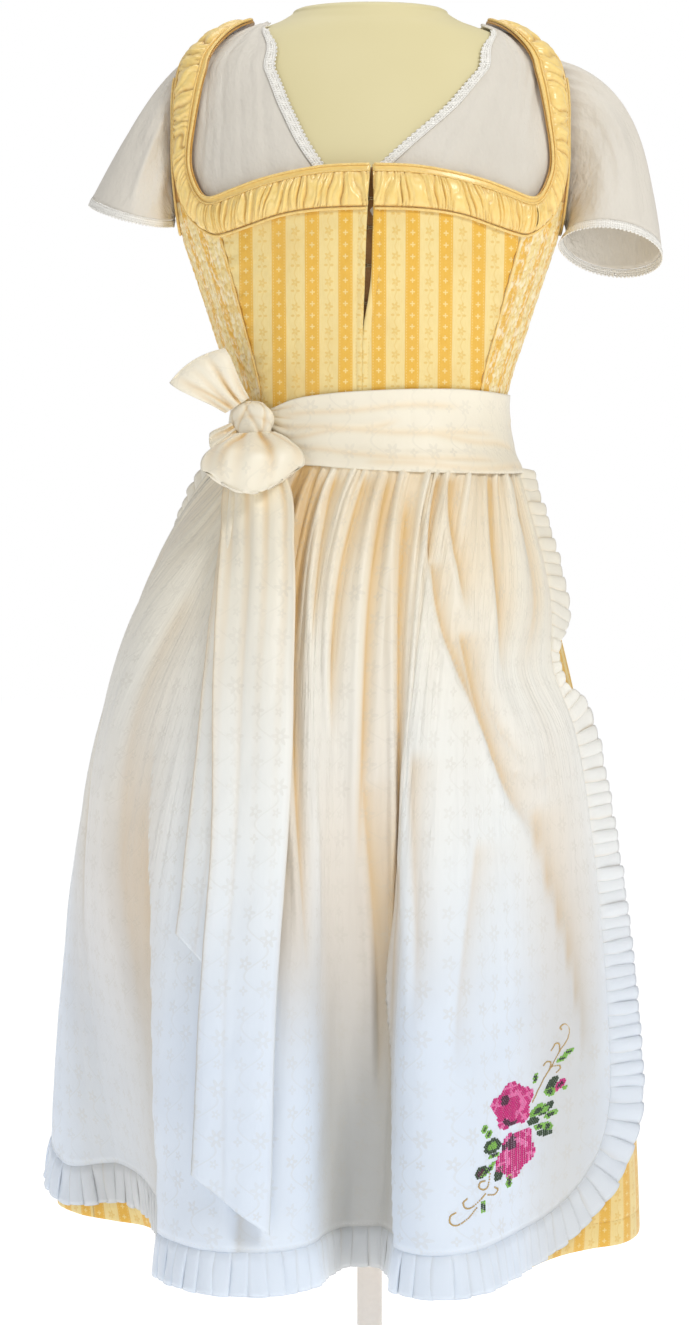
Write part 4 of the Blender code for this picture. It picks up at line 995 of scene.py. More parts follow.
def makeTrim():
    for side, name in sides:
        makeRuche(name, side, "rucheFront", 0.0, trim["corner"] - 0.04, trim["frontFolds"], 1.3 + side,
                  ["ruche_front_" + name])
        makeRuche(name, side, "rucheStrap", trim["corner"] + 0.04, trim["end"], trim["strapFolds"],
                  4.1 + side,
                  ["ruche_strap_" + name])
        # a flat gold strip runs beside the neckline between two fine cords
        step, across = np.meshgrid(np.linspace(0.0, trim["end"], 240), np.linspace(0.165, 0.02, 6),
                                   indexing="ij")
        if side < 0:
            across = across[:, ::-1]
        angle, height = trimSpot(step, across, side)
        points = liftedAt(bodyAt, height, side * angle, layers["trim"][0] + 0.0001)
        cloth = joined(across * 0.04, step * 0.018)
        clothPiece("neckStrip" + name.title(), points, cloth, layers["trim"][1], "satin", [],
                   tint=0 * step)
        steps = np.linspace(0.02, trim["end"], 200)
        for label, across, radius, node in trimCords:
            angle, height = trimSpot(steps, across, side)
            points = liftedAt(bodyAt, height, side * angle, layers["trim"][0] + 0.0009)
            cordPiece(label + name.title(), points, radius, "piping", [node + name] if node else [])
        turn = np.radians(np.linspace(-128, 128, 110))
        height = bodice["armholeHeight"] - (bodice["armholeRise"] + bodice["cordRise"]) * np.cos(turn)
        angle = 90 - (bodice["armholeSpan"] + bodice["cordSpan"]) * np.sin(turn)
        face = sum(layers["bodice"]) + 0.0005
        points = liftedAt(bodyAt, height, side * angle, face + trim["cordRadius"])
        cordPiece("armholeCord" + name.title(), points, trim["cordRadius"], "piping",
                  ["piping_armhole_" + name])
        height = np.linspace(0.040, 0.181, 60)
        points = liftedAt(bodyAt, height, side * bodice["frontSeam"], face + trim["seamCord"] - 0.0004)
        cordPiece("seamCord" + name.title(), points, trim["seamCord"] * 0.8, "piping",
                  ["piping_seam_" + name])


makeTorso()
makeStand()
print("dress form made")
makeBlouseBody()
makeNeckLace()
makeSleeve("left", 1)
makeSleeve("right", -1)
print("blouse made")
makeBodiceFronts()
makeBodiceSides()
makeBodiceBack()
makePlacket()
makeHooks()
makeStraps()
makeTrim()
print("bodice and trim made")


# ---- skirt
skirt = {"frontStart": -103.0, "frontEnd": 96.0, "columns": 260, "rows": 100, "cloth": 0.0012,
         "backGathers": 31, "hemStitch": 0.024}


def hemRun(angles):     # metres along the hem, so that the stripes draw together at the waist
    fine = np.linspace(angles.min(), angles.max(), 1200)
    line = skirtAt(waist["skirtHem"], fine)
    return np.interp(angles, fine, runAlong(line))


def skirtHeights(rows):
    drop = np.linspace(0, 1, rows) ** 1.15
    heights = waist["skirtHem"] + (waist["skirtTop"] - waist["skirtHem"]) * (1 - drop[::-1])
    hem = waist["skirtHem"] + np.array((0.0, 0.0012, 0.003, 0.006, 0.021, 0.0232, 0.0240, 0.0248, 0.027))
    return np.unique(np.concatenate((hem, heights[heights > waist["skirtHem"] + 0.030])))


def hemDimple(height):
    above = height - waist["skirtHem"]
    return -0.0005 * bell(above - skirt["hemStitch"], 0.0012) - 0.0005 * np.exp(-above / 0.0012)


def skirtMesh(name, angle, height, lift, nodes, offset):
    lift = lift + hemDimple(height)
    # the hem is a little shorter where the ruffle covers it
    covered = between(angle, -80, -68, 50, 60)
    height = height + 0.013 * covered * smooth(-0.60, waist["skirtHem"], height)
    points = liftedAt(skirtAt, height, angle, lift)
    run = hemRun(angle[0]) + offset
    cloth = joined(np.broadcast_to(run, height.shape), height)
    # pleated cloth, laid out as wide as its hem
    clothPiece(name, points, cloth, skirt["cloth"], "brocade", nodes,
               flat=(float(run[-1] - run[0]), skirtLength * 1.06))


def makeSkirt():
    heights = skirtHeights(skirt["rows"])[:, None]
    angle = np.linspace(skirt["frontStart"], skirt["frontEnd"], skirt["columns"])[None, :]
    angle, height = np.broadcast_arrays(angle, heights)
    fall = np.clip((waist["skirtTop"] - height) / 0.76, 0, 1)
    lift = 0.0006 * (1 + unevenness(angle / 12, fall * 2.2, 8.0)) * np.sin(math.pi * fall)
    skirtMesh("skirtFront", angle, height, lift, ["skirt_front"], 0.0)
    first, last = skirt["frontEnd"] + 0.1, 360 + skirt["frontStart"] - 0.1
    angle = np.linspace(first, last, skirt["columns"] + 60)[None, :]
    angle, height = np.broadcast_arrays(angle, heights)
    share = (angle - angle[0, 0]) / (angle[0, -1] - angle[0, 0])
    fade = between(share, 0.0, 0.03, 0.97, 1.0)
    phase = share * skirt["backGathers"] + 0.35 * np.sin(share * 33) + 0.2 * np.sin(share * 71)
    above = height - waist["skirtTop"]
    broad = np.cos(2 * math.pi * share * 9) * np.exp(above / 0.110) * 0.0016
    tight = (np.abs(np.cos(math.pi * phase)) ** 0.7 - 0.5) * np.exp(above / 0.080) * 0.0036
    fall = np.clip((waist["skirtTop"] - height) / 0.76, 0, 1)
    loose = 0.0008 * unevenness(angle / 14, fall * 2.0, 9.0) * np.sin(math.pi * fall)
    offset = hemRun(np.array([skirt["frontStart"], skirt["frontEnd"]]))[1]
    skirtMesh("skirtBack", angle, height, fade * (broad + tight + loose), ["skirt_back"], offset)


# ---- apron
apron = {"top": -0.0345, "hem": -0.739, "corner": 0.120, "lift": 0.0085, "liftTop": 0.0050,
         "liftReach": 0.090,
         "hemRun": 1.10, "cloth": 0.0012, "ruffle": 0.038, "seam": 0.0009, "splay": 0.0020, "pleat": 0.0046,
         "gathers": 20, "gather": 0.0036, "gatherReach": 0.110, "hemPleats": 84, "sidePleats": 50}

# long creases: share and height where each begins and ends, half width in metres, depth
apronCreases = (
    (0.418, -0.046, 0.475, -0.520, 0.0085, 0.0056), (0.522, -0.046, 0.541, -0.300, 0.0065, 0.0052),
    (0.585, -0.046, 0.590, -0.420, 0.0075, 0.0050), (0.634, -0.070, 0.685, -0.620, 0.0090, 0.0072),
    (0.729, -0.125, 0.863, -0.311, 0.0080, 0.0042), (0.738, -0.046, 0.812, -0.180, 0.0070, 0.0046),
    (0.850, -0.046, 0.886, -0.240, 0.0070, 0.0046), (0.700, -0.046, 0.725, -0.150, 0.0060, 0.0036),
    (0.800, -0.190, 0.905, -0.390, 0.0085, 0.0048),
    (0.460, -0.046, 0.492, -0.220, 0.0060, 0.0036), (0.900, -0.353, 0.967, -0.641, 0.0110, 0.0030),
    (0.600, -0.320, 0.640, -0.640, 0.0120, 0.0030), (0.740, -0.300, 0.760, -0.560, 0.0130, 0.0026),
    (0.350, -0.046, 0.385, -0.300, 0.0070, 0.0036), (0.229, -0.160, 0.275, -0.640, 0.0110, 0.0032),
    (0.120, -0.120, 0.171, -0.560, 0.0100, 0.0030), (0.300, -0.080, 0.340, -0.420, 0.0080, 0.0030),
    (0.830, -0.380, 0.800, -0.600, 0.0120, 0.0020), (0.930, -0.046, 0.945, -0.240, 0.0060, 0.0034),
    (0.402, -0.380, 0.388, -0.900, 0.0150, 0.0036), (0.820, -0.200, 0.905, -0.330, 0.0050, 0.0022),
    (0.845, -0.300, 0.930, -0.345, 0.0045, 0.0018), (0.690, -0.400, 0.720, -0.700, 0.0110, 0.0024),
)


def apronAngle(share, height):
    depth = np.maximum((apron["top"] - height) / (apron["top"] - waist["skirtHem"]), 0.0)
    # the left edge lies forward of the hip for a short way
    inward = 10.0 * bell(height + 0.225, 0.050) * smooth(0.80, 1.0, share)
    return mix(-88 - 40 * (1 - np.exp(-depth / 0.15)), 78.0, share) - inward


def apronBottom(share):
    run = np.minimum(share, 1 - share) * apron["hemRun"]
    rise = np.clip(1 - run / apron["corner"], 0, 1)
    drawnUp = 0.015 * between(share, 0.08, 0.18, 0.284, 0.306)     # behind the left fold
    return apron["hem"] + apron["corner"] * (1 - np.sqrt(1 - rise * rise)) + drawnUp


def apronSeat(height, share, lift=0.0):
    reach = np.clip((apron["top"] - height) / apron["liftReach"], 0, 1)
    lift = mix(apron["liftTop"], apron["lift"], reach) + lift
    return liftedAt(skirtAt, height, apronAngle(share, height), lift)


def creaseAt(share, height):
    # metres for a whole share
    across = 0.35 + 0.75 * np.clip((apron["top"] - height) / 0.7, 0, 1)
    depth, shade = 0.0, 0.0
    for startShare, startHeight, endShare, endHeight, half, deep in apronCreases:
        along = (startHeight - height) / (startHeight - endHeight)
        bend = 0.010 * np.sin(along * 5.0 + startShare * 40)
        away = (share - mix(startShare, endShare, along) - bend * 0.4) * across / half
        fade = between(along, -0.04, 0.05, 0.60, 1.0)
        away = away * np.where(away < 0, 1.9, 0.75)
        dip = np.exp(-away ** 2) - 0.55 * bell(away + 2.0, 0.9) - 0.25 * bell(away - 2.2, 0.9)
        depth = depth - deep * 1.15 * dip * fade
        shadow = np.where(away < 0, np.exp(-(away * 1.6) ** 2), np.exp(-away * 1.25))
        shade = np.maximum(shade, shadow * fade * np.clip(deep / 0.0044, 0, 1))
    return depth, shade


def gatherAt(share, height):
    below = waist["skirtTop"] - height
    uneven = 0.5 + 0.5 * np.sin(share * 19 + 1.2 * np.sin(share * 43) + 0.6)
    fall = np.exp(-below / (apron["gatherReach"] * (0.45 + 1.0 * uneven)))
    wander = 0.42 * np.sin(share * 27) + 0.22 * np.sin(share * 71 + 1)
    phase = share * apron["gathers"] + wander
    turn = 2 * math.pi * phase
    broad = np.cos(turn + 0.7 * np.sin(turn))
    fine = np.cos(2 * math.pi * (phase * 2 + 0.25 * np.sin(share * 63)) + 1.0)
    tiny = np.cos(2 * math.pi * (phase * 3.5 + 0.3 * np.sin(share * 50)))
    near = np.exp(-below / 0.035)
    small = 0.36 * fine * near + 0.24 * tiny * near * near
    lift = apron["gather"] * (broad * fall * (0.6 + 0.6 * uneven) + small)
    under = smooth(0.000, 0.012, apron["top"] - height)         # held flat below the band
    return lift * under, (np.clip(-0.9 * broad, 0, 1) * fall * 0.75 + np.clip(-0.6 * fine, 0, 1) * near)


# sharp edges where a long fold lies over the hollow beside it: height, share of the width
foldLips = (
    {"heights": (0.739, 0.566, 0.431, 0.300), "shares": (0.735, 0.700, 0.662, 0.645),
     "rise": 0.0095, "reach": 0.028, "shown": (0.30, 0.48)},
    {"heights": (0.739, 0.576, 0.438, 0.256), "shares": (0.303, 0.292, 0.283, 0.250),
     "rise": 0.0100, "reach": 0.036, "shown": (0.26, 0.46)},
)


def lipAt(share, height):
    lift, shade = 0.0, 0.0
    for lip in foldLips:
        away = (share - np.interp(height, [-place for place in lip["heights"]], lip["shares"])) * 0.95
        shown = smooth(lip["shown"][0], lip["shown"][1], -height)
        fading = np.exp(-np.maximum(away, 0) / lip["reach"])
        lift = lift + lip["rise"] * smooth(-0.0030, 0.0022, away) * fading * shown
        shade = shade + np.where(away < 0.0012, np.exp(np.minimum(away, 0) / 0.024), 0) * shown
    return lift, shade


def apronFace(share, height):
    fade = np.clip(np.minimum(share, 1 - share) / 0.02, 0, 1)
    gathered, gatherShade = gatherAt(share, height)
    creased, creaseShade = creaseAt(share, height)
    fall = np.clip((apron["top"] - height) / 0.70, 0, 1)
    soft = 0.0012 * unevenness(share * 7.0 + fall, fall * 3.0 - share, 11.0) * smooth(0.05, 0.25, fall)
    above = height - apronBottom(share)
    quiet = smooth(0.0, 0.05, above)
    lip, lipShade = lipAt(share, height)
    lift = fade * (gathered + (creased + soft) * (0.25 + 0.75 * quiet)) + lip
    deepest = -mix(0.0036, 0.0066, np.clip((apron["top"] - height) / apron["liftReach"], 0, 1))
    # no crease reaches the skirt beneath
    softer = deepest * (1 - 0.4 * np.exp((lift - deepest * 0.6) / -deepest / 0.4))
    lift = np.where(lift < deepest * 0.6, softer, lift)
    recessShade = recessShadeAt(height, apronAngle(share, height))
    # the tie throws a shadow along its edge
    edge = np.interp(-height, (0.041, 0.340, 0.517), (0.358, 0.400, 0.436))
    beside = between(share - edge, -0.010, 0.004, 0.030, 0.085) * smooth(0.62, 0.45, -height)
    shade = gatherShade * 0.6 + creaseShade * (0.60 + 0.40 * (1 - fall)) * fade
    shade = shade * mix(0.45, 1.0, smooth(0.28, 0.40, share))
    shade = shade + recessShade * mix(0.40, 0.72, smooth(0.25, 0.42, share)) + 0.75 * lipShade + 0.5 * beside
    return apronSeat(height, share, lift), np.clip(shade, 0, 1)


def makeApronPanel():
    corner = apron["corner"] / apron["hemRun"]
    bend = corner * (1 - np.cos(np.linspace(0, math.pi / 2, 16)))
    shares = np.concatenate((bend[:-1], np.linspace(corner, 1 - corner, 300), (1 - bend[:-1])[::-1]))
    rises = 1 - np.linspace(0, 1, 130)[::-1] ** 1.25
    share, rise = np.meshgrid(shares, rises)
    height = mix(apronBottom(share), apron["top"], rise)
    points, shade = apronFace(share, height)
    run = hemRun(apronAngle(shares, waist["skirtHem"]))
    cloth = joined(np.broadcast_to(run, share.shape), height)
    clothPiece("apronPanel", points, cloth, apron["cloth"], "apron", ["apron_panel"],
               tint=shade, flat=(apron["hemRun"] + 0.06, apron["top"] - apron["hem"]))


def ruffleStrip(name, pathAt, pleats, seed, nodes):
    # knife pleats: each rises along its face and folds back under itself
    profile = ((0.0, 0.0), (0.16, 0.42), (0.36, 0.72), (0.58, 0.90), (0.80, 1.0), (1.00, 0.98),
               (1.13, 0.84), (1.16, 0.62), (1.10, 0.30), (1.03, 0.06))
    places, rises, numbers = [], [], []
    for pleat in range(pleats):
        width = 1 + 0.16 * math.sin(pleat * 2.7 + seed) + 0.10 * math.sin(pleat * 5.1 + 2 * seed)
        tall = 1 + 0.18 * math.sin(pleat * 1.9 + seed * 3)
        for along, rise in profile:
            places.append(pleat + along * (0.94 + 0.06 * width) / (1.20 if pleat == pleats - 1 else 1.0))
            rises.append(rise * tall)
            numbers.append(pleat)
    places, rises, numbers = np.array(places), np.array(rises), np.array(numbers)
    across = np.concatenate((np.linspace(1, 0.10, 9), (0.04, -0.10)))[:, None]
    drift = 0.10 * np.sin(numbers * 1.7 + seed) * np.maximum(across, 0) ** 1.5
    here = np.clip((places[None, :] + drift) / pleats, 0, 1)
    height, share = pathAt(here)
    beforeHeight, beforeShare = pathAt(here - 0.002)
    afterHeight, afterShare = pathAt(here + 0.002)
    seat = apronSeat(height, share)
    along = unit(apronSeat(afterHeight, afterShare) - apronSeat(beforeHeight, beforeShare))
    face = outwardAt(skirtAt, height, apronAngle(share, height))
    away = unit(np.cross(along, face))
    opened = mix(0.30, 1.0, np.maximum(across, 0) ** 0.8) * smooth(-0.02, 0.08, across)
    puff = 0.0010 * np.sin(numbers * 2.3 + seed)[None, :] * np.sin(math.pi * across)
    tucked = -0.0016 * smooth(0.06, 0.0, across)
    lift = apron["pleat"] * rises[None, :] * opened + apron["splay"] * np.maximum(across, 0) + puff + tucked
    edge = 1 + 0.018 * np.sin(numbers * 3.1 + seed)[None, :] * (across > 0.9)
    if name == "apronRuffleRight":      # it stands away from the hip
        lift = lift + 0.020 * bell(height + 0.105, 0.060) * np.maximum(across, 0) ** 1.5
    if name == "apronRuffleLeft":
        edge = edge * (1 - 0.82 * np.exp(-((height + 0.225) / 0.044) ** 4))
    lift = lift + lipAt(share, height)[0]
    reach = apron["seam"] + apron["ruffle"] * across * edge
    points = seat + away * reach[..., None] + face * lift[..., None]
    cloth = joined(places[None, :] * 0.0135 * 1.4, across * apron["ruffle"])
    # painted shade: in the pleat hollows, faintly along the seam, and in the recesses between the skirt's
    # folds
    deep = np.clip(1 - 1.5 * rises[None, :], 0, 1) * (0.55 + 0.45 * (1 - across))
    warm = smooth(-0.55, 0.0, height)
    shade = deep * mix(0.62, 0.75, warm) + 0.10 * np.exp(-np.abs(across) / 0.07)
    shade = shade + 0.55 * recessShadeAt(height, apronAngle(share, height))
    clothPiece(name, points, cloth, thin["taffeta"], "taffeta", nodes,
               tint=np.clip(shade, 0, 1), flat=(float(runAlong(points[0])[-1]), apron["ruffle"] * 1.16))


def makeRuffles():
    cornerHeight = float(apronBottom(np.array(0.0))) + 0.0012
    top = apron["top"] - 0.004

    def rightPath(here):
        return mix(top, cornerHeight - 0.006, here), np.zeros_like(here)

    def leftPath(here):
        return mix(cornerHeight - 0.006, top, here), np.ones_like(here)

    # equal steps along the lower edge of the panel
    shares = np.linspace(0, 1, 2000)
    turn = 0.5 - 0.5 * np.cos(np.linspace(0, math.pi, 2000))
    shares = mix(shares, turn, 0.6)
    line = apronSeat(apronBottom(shares), shares)
    run = runAlong(line)
    run = run / run[-1]

    def hemPath(here):
        share = np.interp(here, run, shares)
        return apronBottom(share), share

    ruffleStrip("apronRuffleRight", rightPath, apron["sidePleats"], 1.0, ["apron_ruffle_right"])
    ruffleStrip("apronRuffleHem", hemPath, apron["hemPleats"], 2.0, ["apron_ruffle_hem"])
    ruffleStrip("apronRuffleLeft", leftPath, apron["sidePleats"], 3.0, ["apron_ruffle_left"])


# ---- waistband
sashTable = Table("angle top bottom", (
    (-48, 0.019, -0.002), (-43, 0.0225, -0.012), (-35, 0.029, -0.026), (-17, 0.036, -0.033),
    (0, 0.039, -0.036), (35, 0.041, -0.0400), (80, 0.036, -0.0420), (105, 0.036, -0.0385),
    (180, 0.036, -0.0355), (250, 0.036, -0.0355), (272, 0.035, -0.034), (290, 0.030, -0.022),
    (305, 0.019, -0.002),))

# creases that run along the band: share of its height at the start and end, angles, lift
bandCreases = (
    (0.42, -40, 0.66, 12, 0.0016), (0.60, -44, 0.50, 62, 0.0013), (0.30, -44, 0.18, 58, 0.0015),
    (0.80, -36, 0.86, 40, 0.0010), (0.52, 20, 0.36, 78, 0.0010), (0.66, 80, 0.60, 170, 0.0009),
    (0.30, 90, 0.40, 200, 0.0010), (0.70, 190, 0.52, 302, 0.0012), (0.36, 205, 0.42, 303, 0.0013),
    (0.15, 0, 0.10, 80, 0.0008),
)


def makeWaistband():
    angle, rise = np.meshgrid(np.linspace(-48, 305, 420), np.linspace(0, 1, 46))
    low, high = sashTable.at("bottom", angle), sashTable.at("top", angle)
    covering = between(angle, -46, -34, 74, 88)
    height = mix(low - 0.0042 * covering, high, rise)
    drawn = smooth(24, 2, np.minimum(np.abs(angle + 50), np.abs(angle - 308)))
    lift, shade = 0 * angle, 0 * angle
    for start, first, end, last, deep in bandCreases:
        along = (angle - first) / (last - first)
        middle = mix(start, end, along) + 0.02 * np.sin(along * 9 + first)
        away = rise - middle
        fade = between(along, -0.06, 0.06, 0.85, 1.03)
        ridge = np.where(away < 0, bell(away, 0.035), np.exp(-away / 0.14))
        lift = lift + deep * ridge * fade
        shade = np.maximum(shade, bell(away + 0.055, 0.045) * fade)
    tight = 0.0012 * drawn * (np.cos(2 * math.pi * 5 * rise + 0.3) + 0.4 * np.cos(2 * math.pi * 11 * rise))
    seamLine = -0.0007 * bell(angle - 16.5, 0.45) * (rise > 0.5)
    edge = 0.0005 * (np.exp(-rise / 0.03) + np.exp(-(1 - rise) / 0.03))
    lift = np.clip(lift, 0, 0.0030) + tight * 0.7 + seamLine - edge
    lift = lift + 0.0058 * covering * (1 - smooth(0.0, 0.34, rise))
    points = liftedAt(bodyAt, height, angle, layers["band"][0] + lift)
    cloth = joined(np.radians(angle) * 0.15, height)
    shade = np.clip(shade * 0.34 + drawn * np.clip(-np.cos(2 * math.pi * 5 * rise + 0.3), 0, 1) * 0.6, 0, 1)
    clothPiece("waistband", points, cloth, layers["band"][1], "ivory", ["apron_waistband"],
               tint=shade)


# ---- bow
knotForm = {"angle": -51.0, "height": 0.006, "lift": 0.0261, "size": (0.0245, 0.0135, 0.0190), "turn": -38}

loopForms = {
    "upper": {"root": (-0.0128, -0.0032, 0.0144), "run": (-0.040, -0.006, 0.040),
              "side": (0.054, 0.0, 0.034), "rootWidth": 0.42, "swell": 0.012, "round": 0.10, "seed": 1.0},
    "lower": {"root": (0.0034, -0.0135, -0.0100), "run": (-0.002, -0.052, -0.054),
              "side": (0.098, 0.006, 0.004), "rootWidth": 0.34, "swell": 0.021, "round": 1.0, "seed": 2.0},
    "side": {"root": (-0.0146, -0.0015, -0.0073), "run": (-0.020, -0.006, -0.018),
             "side": (0.016, -0.008, -0.024), "rootWidth": 0.5, "swell": 0.005, "round": 0.30, "seed": 3.0},
}

tailTable = Table("depth frontRight frontLeft backRight backLeft", (
    (0.018, -0.128, -0.104, -0.130, -0.110), (0.055, -0.138, -0.078, -0.137, -0.100),
    (0.120, -0.140, -0.070, -0.143, -0.100), (0.250, -0.146, -0.072, -0.156, -0.100),
    (0.400, -0.147, -0.079, -0.174, -0.110), (0.520, -0.153, -0.085, -0.184, -0.120),
    (0.722, -0.166, -0.094, -0.190, -0.130),))

tailForms = {
    "front": {"top": -0.0128, "end": (-0.672, -0.722), "topLift": 0.0080, "lift": 0.0125, "seed": 1.0},
    "back": {"top": -0.0140, "end": (-0.462, -0.512), "topLift": 0.0045, "lift": 0.0085, "seed": 2.0},
}


def makeKnot(centre):
    # a short wrap of the tie with folds running over it
    turn, rise = np.meshgrid(np.linspace(-1, 1, 121) * math.pi, np.linspace(-0.5, 0.5, 61) * math.pi)
    folds = 0.10 * np.abs(np.sin(2.6 * rise + 1.1 * np.sin(turn * 1.3) + 0.4)) ** 0.8 - 0.05
    for place, slope, half in ((-1.05, 0.55, 0.13), (-1.75, -0.35, 0.11), (-2.30, 0.30, 0.12),
                               (-0.45, -0.20, 0.12)):
        folds = folds - 0.11 * bell(turn - place + slope * rise, half)
    flat = np.cos(rise) ** 0.75
    width, depth, height = knotForm["size"]
    x, y = width * flat * np.cos(turn) * (1 + folds), depth * flat * np.sin(turn) * (1 + folds)
    z = height * np.sin(rise) * (1 + 0.5 * folds)
    around = math.radians(knotForm["turn"])
    cosine, sine = math.cos(around), math.sin(around)
    points = joined(x * cosine - y * sine, x * sine + y * cosine, z) + centre
    shade = np.clip(-folds * 6, 0, 1) * 0.7
    cloth = joined(turn * 0.018, rise * 0.019)
    mesh = gridMesh("bowKnot", points, cloth, shade)
    mergeDoubles(mesh, turn=True)
    finishPiece(linked("bowKnot", mesh), "ivory", ["bow_knot"])


def makeLoop(name, knot):
    loop = loopForms[name]
    root, run, side = (np.array(loop[key]) for key in ("root", "run", "side"))
    root = root + knot
    normal = unit(np.cross(run, side))
    around, across = np.meshgrid(np.radians(np.linspace(14, 346, 110)), np.linspace(0, 1, 44), indexing="ij")
    reach = (1 - np.cos(around)) / 2
    spread = mix(smooth(0, 1.1, reach), np.sin(math.pi * reach / 1.28) ** 0.75, loop["round"])
    width = mix(loop["rootWidth"], 1.0, spread)
    closed = 1 - 0.86 * loop["round"] * np.abs(2 * across - 1) ** 3
    belly = mix(0.35 + 0.65 * reach, np.sin(math.pi * reach ** 1.3 * 0.86 + 0.16), loop["round"])
    swell = loop["swell"] * np.sin(around) * belly * closed
    # folds spread from the knot and fade towards the bend
    fan = np.cos(2 * math.pi * (across * 3.5 + 0.12 * np.sin(reach * 5 + loop["seed"])) + loop["seed"])
    sharp = bell(across - 0.62 - 0.1 * reach, 0.045) + bell(across - 0.28 + 0.12 * reach, 0.05)
    fold = 0.0026 * fan * (1 - reach) ** 0.5 * (0.4 + 0.6 * reach) - 0.0030 * sharp * (1 - reach * 0.65)
    limp = 0.0018 * np.sin(math.pi * across) * np.sin(reach * 3 + loop["seed"]) * reach
    dented = unevenness(across * 1.3, reach * 1.1, loop["seed"]) * smooth(0.2, 0.5, reach)
    limp = limp + 0.0022 * loop["round"] * dented
    sign = np.where(np.sin(around) >= 0, 1.0, -1.0)
    bow = 0.004 * np.sin(math.pi * across) * reach
    reached = reach * (1 - 0.34 * loop["round"] * np.abs(2 * across - 1) ** 2.0 * reach ** 2)
    away = swell + (fold + limp) * sign * smooth(0, 0.12, reach)
    points = (root + run * reached[..., None] + side * (width * (across - 0.5))[..., None]
              + normal * away[..., None] + unit(run) * bow[..., None])
    shade = np.clip(sharp * (1 - reach) + 0.5 * np.clip(-fan, 0, 1) * (1 - reach), 0, 1)
    cloth = joined(across * np.linalg.norm(side), around * 0.03)
    clothPiece("bowLoop" + name.title(), points, cloth, thin["tie"], "ivory", ["bow_loop_" + name],
               tint=shade)


def halved(target, low, high, rounds, pointAt):      # where the points reach the wanted x
    low, high = np.full(target.shape, low), np.full(target.shape, high)
    for number in range(rounds):
        middle = (low + high) / 2
        under = pointAt(middle)[..., 0] < target
        low, high = np.where(under, middle, low), np.where(under, high, middle)
    return (low + high) / 2


def makeTail(name):
    tail = tailForms[name]
    across, drop = np.meshgrid(np.linspace(0, 1, 40), 1 - np.linspace(0, 1, 170))
    height = mix(tail["top"], mix(tail["end"][0], tail["end"][1], across), drop)
    fall = np.clip((tail["top"] - height) / 0.060, 0, 1)
    lift = apron["lift"] + mix(tail["topLift"], tail["lift"], fall)
    x = mix(tailTable.at(name + "Right", -height), tailTable.at(name + "Left", -height), across)
    x = x + 0.0016 * np.sin(height * 17 + tail["seed"]) * fall
    angle = halved(x, -64.0, 20.0, 26, lambda middle: liftedAt(skirtAt, height, middle, lift))
    seed = tail["seed"]
    # narrow folds under the knot open into one or two long soft ones
    top = np.exp(-(tail["top"] - height) / 0.11)
    narrow = 0.0022 * np.cos(2 * math.pi * (across * 4 + 0.15 * np.sin(height * 14)) + seed) * top
    winding = 2 * math.pi * (across * 1.3 + 0.22 * np.sin(height * 5 + seed)) + seed * 1.4
    longFold = 0.0018 * np.cos(winding) * fall
    cross = 0.0007 * unevenness(across * 1.6, height * 9, 12 + seed)
    fromCrease = across - 0.40 - 0.10 * np.sin(height * 6 + seed)
    crease = -0.0007 * bell(fromCrease, 0.035) * smooth(0.1, 0.6, fall)
    hemmed = -0.0004 * (bell(across - 0.05, 0.008) + bell(across - 0.95, 0.008))
    bend = narrow + longFold + cross + crease + hemmed
    points = liftedAt(skirtAt, height, angle, lift + bend + 0.0012)
    shade = np.clip(np.clip(-narrow / 0.0022, 0, 1) * 0.9 + bell(fromCrease, 0.03) * 0.12 * fall, 0, 1)
    shade = np.clip(shade + 0.55 * np.exp(-across / 0.022) + 0.30 * np.exp(-(1 - across) / 0.022), 0, 1)
    cloth = joined(across * 0.078, height)
    clothPiece("bowTail" + name.title(), points, cloth, thin["tie"], "ivory", ["bow_tail_" + name],
               tint=shade)


# ---- stitches
embroidery = {"middleX": 0.1300, "middleHeight": -0.6420, "scaleX": 0.00101, "scaleY": 0.00085,
              "pitch": 2.0, "bead": 0.00128, "rise": 0.0013}

# two roses: middle, half width and half height in millimetres, tilt, turn of the petals
roses = ((-1, 25.5, 21.5, 26.0, 8, 0.4), (2, -27.0, 20.5, 27.0, -14, 2.3))

